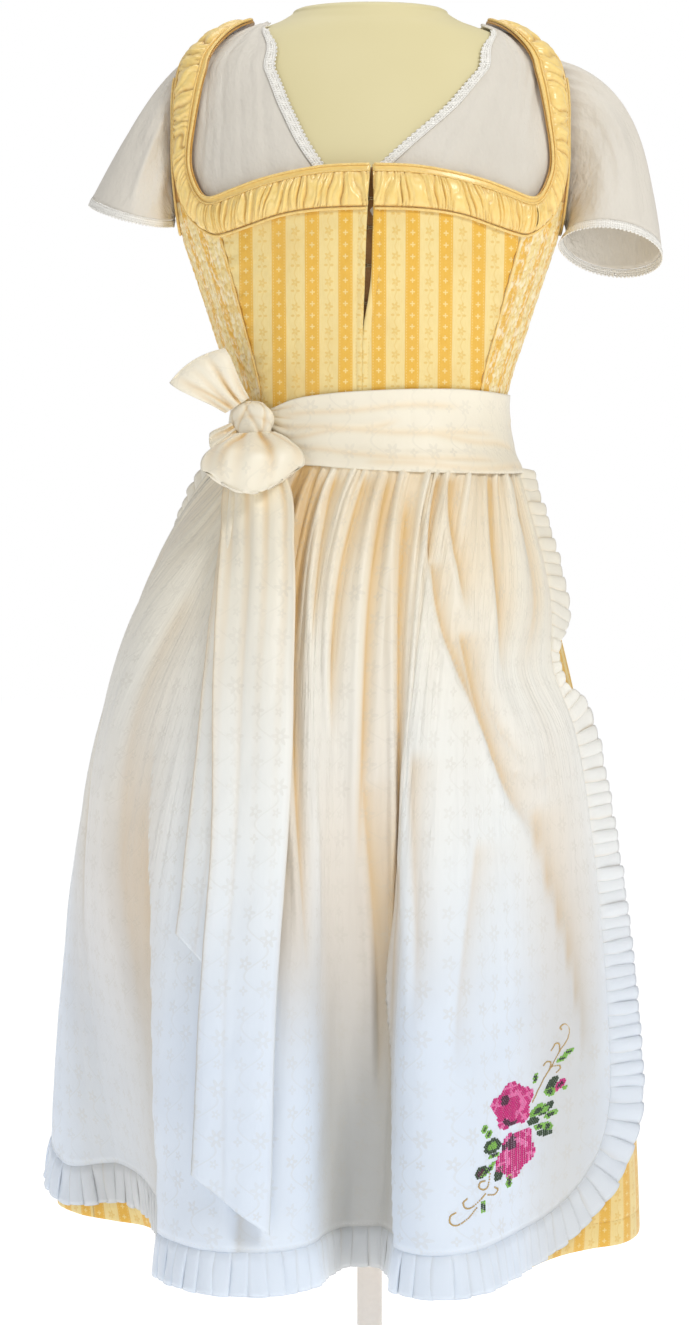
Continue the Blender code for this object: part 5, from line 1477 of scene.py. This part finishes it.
# leaves: middle, half length, half width, tilt, thread of the rim, thread of the middle
leafForms = (
    (21.7, 46.8, 6.0, 2.6, 88, "leaf", "darkLeaf"), (48.8, 59.5, 6.0, 3.0, 22, "leaf", "darkLeaf"),
    (55.6, 65.0, 6.0, 3.0, 18, "leaf", "darkLeaf"), (38.5, 35.0, 8.0, 4.4, 48, "darkLeaf", "darkLeaf"),
    (36.5, 27.0, 6.5, 4.6, -20, "leaf", "darkLeaf"), (46.8, 31.0, 7.4, 3.8, 46, "rose", "plum"),
    (51.5, 26.5, 3.6, 2.2, -5, "leaf", "leaf"), (24.0, 11.0, 8.6, 5.0, 28, "leaf", "darkLeaf"),
    (32.5, 9.5, 8.6, 4.6, 34, "darkLeaf", "leaf"), (19.5, 0.6, 6.6, 3.8, 2, "darkLeaf", "darkLeaf"),
    (37.5, 1.6, 7.4, 3.4, 8, "leaf", "darkLeaf"), (26.0, -7.8, 6.0, 3.4, -24, "leaf", "darkLeaf"),
    (34.0, -10.5, 6.0, 4.2, -35, "leaf", "darkLeaf"), (31.0, -16.5, 9.0, 3.8, -22, "darkLeaf", "darkLeaf"),
    (-28.6, 8.7, 4.4, 2.6, 70, "leaf", "darkLeaf"), (-24.4, 2.4, 4.6, 2.6, 80, "leaf", "darkLeaf"),
    (-20.8, -11.0, 8.4, 7.8, 15, "darkLeaf", "leaf"), (-19.8, -20.8, 5.4, 2.6, 5, "leaf", "darkLeaf"),
    (-32.0, -35.0, 6.8, 5.0, 60, "darkLeaf", "plum"), (-25.2, -34.0, 8.6, 2.8, 38, "leaf", "darkLeaf"),
    (-15.0, -42.0, 7.8, 4.0, 78, "darkLeaf", "darkLeaf"), (-5.0, -54.0, 7.8, 3.0, 84, "leaf", "darkLeaf"),
    (-30.0, -70.6, 7.0, 2.8, 98, "leaf", "darkLeaf"),
)

# couched gold scrolls through these places
scrolls = (
    ((19, 22), (25, 34), (32, 46), (38, 54), (46, 68), (54, 79), (56, 90), (52, 97), (47, 95), (48, 92)),
    ((35.5, 51), (37.5, 58), (33.5, 61), (30, 58)), ((46.5, 68), (46, 76), (42, 78), (38, 72)),
    ((39.5, 54), (46, 52.5), (47, 49), (43.5, 46)),
    ((-23.5, -39), (-25.5, -51), (-30, -53), (-34, -49), (-32.5, -44.5), (-28.5, -44.5)),
    ((-28, -58), (-32, -62), (-40, -68), (-46, -68), (-48.5, -62), (-45, -58.5)),
    ((-36, -70), (-44.5, -79), (-54, -84), (-60, -81), (-60, -74), (-55.5, -71)),
    ((-25.5, -60), (-19, -62), (-16, -58), (-19, -54.5)),
)


def onApron(share, height):
    point = apronFace(share, height)[0]
    right, up = apronFace(share + 0.001, height)[0], apronFace(share, height + 0.001)[0]
    normal = unit(np.cross(right - point, up - point))
    return point + normal * embroidery["rise"], normal, unit(right - point)


def filledOval(x, y, halfX, halfY, tilt):      # a grid of beads, with how far out each lies
    pitch = embroidery["pitch"]
    turn = math.radians(tilt)
    reach = max(halfX, halfY) + pitch
    spots = []
    for row in np.arange(-reach, reach, pitch):
        for place in np.arange(-reach, reach, pitch) + pitch / 2 * (round(row / pitch) % 2):
            along = place * math.cos(turn) + row * math.sin(turn)
            across = row * math.cos(turn) - place * math.sin(turn)
            out = math.hypot(along / halfX, across / halfY)
            if out < 1.0:
                spots.append((x + place, y + row, out, math.atan2(across / halfY, along / halfX)))
    return spots


def roseThread(out, around, turn):
    # three rounds of petals, parted by paler edges, with a dark heart to one side
    ripple = out * (1 + 0.10 * math.sin(5 * around + turn))
    heart = math.hypot(out * math.cos(around) + 0.30, out * math.sin(around) - 0.34)
    if heart < 0.20 or (0.62 < ripple < 0.86 and math.sin(around + turn) < -0.90):
        return "plum"
    if 0.36 < ripple < 0.56 and math.cos(around - turn) > -0.35 or 0.80 < ripple < 0.86:
        return "pink"
    if math.sin(5 * around + turn) > 0.93 and ripple > 0.56:
        return "pink"
    return "rose"


def patternMesh(name, corners, pattern):      # the same few faces on each set of corners
    faces = (np.arange(len(corners))[:, None, None] * corners.shape[1]
             + np.array(pattern)[None]).reshape(-1, 3)
    return plainMesh(name, corners, faces.tolist())


def beadMesh(name, points, normals, across, radius):
    # each bead is a low double cone on a six-sided ring, wider where the cloth slants away
    side = np.cross(normals, across)
    across = across / np.clip(np.abs(across[:, :1]), 0.42, 1.0)
    turns = np.linspace(0, 2 * math.pi, 7)[:6]
    ring = [points + radius * (math.cos(t) * across + math.sin(t) * side) for t in turns]
    corners = np.stack(ring + [points + normals * radius * 0.8, points - normals * radius * 0.4], 1)
    pattern = [(here, (here + 1) % 6, 6) for here in range(6)]
    pattern += [((here + 1) % 6, here, 7) for here in range(6)]
    return patternMesh(name, corners, pattern)


def makeEmbroidery():
    threads = {}
    for x, y, halfX, halfY, tilt, turn in roses:
        for px, py, out, around in filledOval(x, y, halfX, halfY, tilt):
            if out < 0.90 + 0.10 * math.sin(5 * around + turn):
                threads.setdefault(roseThread(out, around, turn), []).append((px, py))
    for x, y, halfLong, halfWide, tilt, rim, middle in leafForms:
        for px, py, out, around in filledOval(x, y, halfLong, halfWide, tilt):
            threads.setdefault(middle if out < 0.55 else rim, []).append((px, py))
    for scroll in scrolls:
        line = np.array(scroll, dtype=float)
        length = int(np.linalg.norm(np.diff(line, axis=0), axis=1).sum() / 1.25)
        route = Table("key x y", np.column_stack((np.arange(len(line)), line)))
        fine = np.linspace(0, len(line) - 1, length)
        threads.setdefault("goldThread", []).extend(zip(route.at("x", fine), route.at("y", fine)))
    count = 0
    for thread, spots in threads.items():
        x, y = np.array(spots).T
        x = x + 0.22 * np.sin(y * 3.1 + x)
        height = embroidery["middleHeight"] + y * embroidery["scaleY"]
        x = embroidery["middleX"] + x * embroidery["scaleX"]
        share = halved(x, 0.55, 0.975, 24, lambda middle: apronFace(middle, height)[0])
        point, normal, across = onApron(share, height)
        radius = embroidery["bead"] * (0.72 if thread == "goldThread" else 1.0)
        name = thread + "Beads"
        finishPiece(linked(name, beadMesh(name, point, normal, across, radius)), thread, [])
        count += len(spots)
    return count


def stitchMesh(name, starts, ends, normals, half):
    # a stitch is a six-cornered bead lying on the cloth
    middle = (starts + ends) / 2
    side = unit(np.cross(ends - starts, normals)) * half
    up = unit(normals) * half
    ring = [middle + side, middle + up * 1.1, middle - side, middle - up * 0.4]
    corners = np.stack([starts] + ring + [ends], 1)
    return patternMesh(name, corners, ((0, 2, 1), (0, 3, 2), (0, 4, 3), (0, 1, 4),
                                       (5, 1, 2), (5, 2, 3), (5, 3, 4), (5, 4, 1)))


def runningStitches(name, points, normals, pitch, length, half, thread):
    run = runAlong(points)
    starts = np.arange(pitch, run[-1] - length, pitch)

    def along(values, here):
        return joined(*(np.interp(here, run, values[:, part]) for part in range(3)))

    ends = along(points, starts + length)
    mesh = stitchMesh(name, along(points, starts), ends, along(normals, starts), half)
    finishPiece(linked(name, mesh), thread, [])


def makeSeamStitches():
    # the ruffle is topstitched to the panel
    shares = np.linspace(0.0, 1.0, 1400)
    lower = apronBottom(shares)
    point, normal = onApron(np.clip(shares, 0.003, 0.997), lower + 0.0032)[:2]
    runningStitches("apronSeamStitches", point - normal * 0.0002, normal, 0.0036, 0.0024, 0.00032,
                    "whiteThread")
    # edge stitching beside the slit of the bodice
    for side, name in sides:
        height = np.linspace(0.046, 0.235, 200)
        angle = slitAngle(name + "Edge", height) + side * 2.3
        face = layers["bodice"][0] + layers["bodice"][1] - 0.0004
        points = liftedAt(bodyAt, height, angle, face)
        runningStitches("slitStitches" + name.title(), points, outwardAt(bodyAt, height, angle), 0.0034,
                        0.0022,
                        0.0003, "yellowThread")
    # stitches along the upper edge of the waistband
    angle = np.linspace(-40, 296, 900)
    height = mix(sashTable.at("bottom", angle), sashTable.at("top", angle), 0.955)
    points = liftedAt(bodyAt, height, angle, sum(layers["band"]) - 0.0002)
    runningStitches("bandStitches", points, outwardAt(bodyAt, height, angle), 0.0036, 0.0024, 0.00028,
                    "whiteThread")
    # and above the hem of the dress
    angle = np.linspace(0, 359.5, 2200)
    height = waist["skirtHem"] + skirt["hemStitch"]
    points = liftedAt(skirtAt, height, angle, skirt["cloth"])
    runningStitches("hemStitches", points, outwardAt(skirtAt, height, angle), 0.0046, 0.0028, 0.0003,
                    "yellowThread")


makeSkirt()
print("skirt made")
makeApronPanel()
makeRuffles()
makeWaistband()
print("apron made")
knotPlace = liftedAt(bodyAt, knotForm["height"], knotForm["angle"], knotForm["lift"])
makeKnot(knotPlace)
for loopName in loopForms:
    makeLoop(loopName, knotPlace)
for tailName in tailForms:
    makeTail(tailName)
print("bow made")
print("embroidery beads:", makeEmbroidery())
makeSeamStitches()


# ---- studio
studio = {"location": (-0.025, -3.0, 1.06), "tilt": 90 - 4.34, "lens": 83.2, "sensor": 36.0, "world": 0.34,
          "paperGlow": 0.70, "paperHalf": 9.0, "paperDrop": 0.0005}

# name, place, aim, sides, watts, colour
lights = (
    ("keyLight", (1.7, -2.0, 2.9), (0, 0, 0.95), (0.8, 0.8), 41, (1.0, 0.99, 0.97)),
    ("fillLight", (-2.2, -2.8, 1.6), (0, 0, 0.9), (1.5, 1.5), 13, (0.97, 0.985, 1.0)),
    ("topLight", (-0.2, 0.2, 3.3), (0, 0, 1.0), (1.4, 1.4), 17, (1.0, 1.0, 1.0)),
)


def softLight(name, location, target, size, power, tint):
    light = bpy.data.lights.new(name, "AREA")
    light.shape = "RECTANGLE"
    light.size, light.size_y = size
    light.energy = power
    light.color = tint
    lamp = linked(name, light)
    lamp.location = location
    lamp.rotation_euler = (Vector(target) - Vector(location)).to_track_quat("-Z", "Y").to_euler()


def makeStudio():
    camera = bpy.data.cameras.new("camera")
    camera.lens = studio["lens"]
    camera.sensor_width = studio["sensor"]
    camera.clip_start = 0.1
    eye = linked("camera", camera)
    eye.location = studio["location"]
    eye.rotation_euler = (math.radians(studio["tilt"]), 0.0, 0.0)
    scene.camera = eye
    scene.view_settings.view_transform = "Standard"
    world = bpy.data.worlds.new("studio")
    scene.world = world
    world.use_nodes = True
    background = world.node_tree.nodes["Background"]
    background.inputs["Color"].default_value = (0.96, 0.97, 1.0, 1.0)
    background.inputs["Strength"].default_value = studio["world"]
    # the room lights softly, and is seen as plain white
    tree = world.node_tree
    seen, path, join = (tree.nodes.new("ShaderNode" + kind)
                        for kind in ("Background", "LightPath", "MixShader"))
    seen.inputs["Color"].default_value = (1.0, 1.0, 1.0, 1.0)
    tree.links.new(path.outputs["Is Camera Ray"], join.inputs[0])
    tree.links.new(background.outputs[0], join.inputs[1])
    tree.links.new(seen.outputs[0], join.inputs[2])
    tree.links.new(join.outputs[0], tree.nodes["World Output"].inputs["Surface"])
    for row in lights:
        softLight(*row)
    spread = np.linspace(-studio["paperHalf"], studio["paperHalf"], 9)
    points = joined(spread[None, :], spread[:, None], 0.0)
    paper = Nodes("paper", (240, 240, 241), 0.9, specular=0.1)
    paper.shader.inputs["Emission Color"].default_value = (1.0, 1.0, 1.0, 1.0)
    paper.shader.inputs["Emission Strength"].default_value = studio["paperGlow"]
    grain = paper.noise(paper.place(), 40.0, 2.0)
    paper.done(paper.blend(grain, (246, 246, 247), (243, 243, 244)))
    backdrop = linked("paper", gridMesh("paper", points, points[..., :2] * 0))
    backdrop.data.materials.append(paper.material)
    backdrop.location.z = -studio["paperDrop"]


makeStudio()

low = min(vertex.co.z for piece in madePieces for vertex in piece.data.vertices)
print("pieces:", len(madePieces), "faces:", sum(len(piece.data.polygons) for piece in madePieces),
      "lowest point:", round(low, 4))
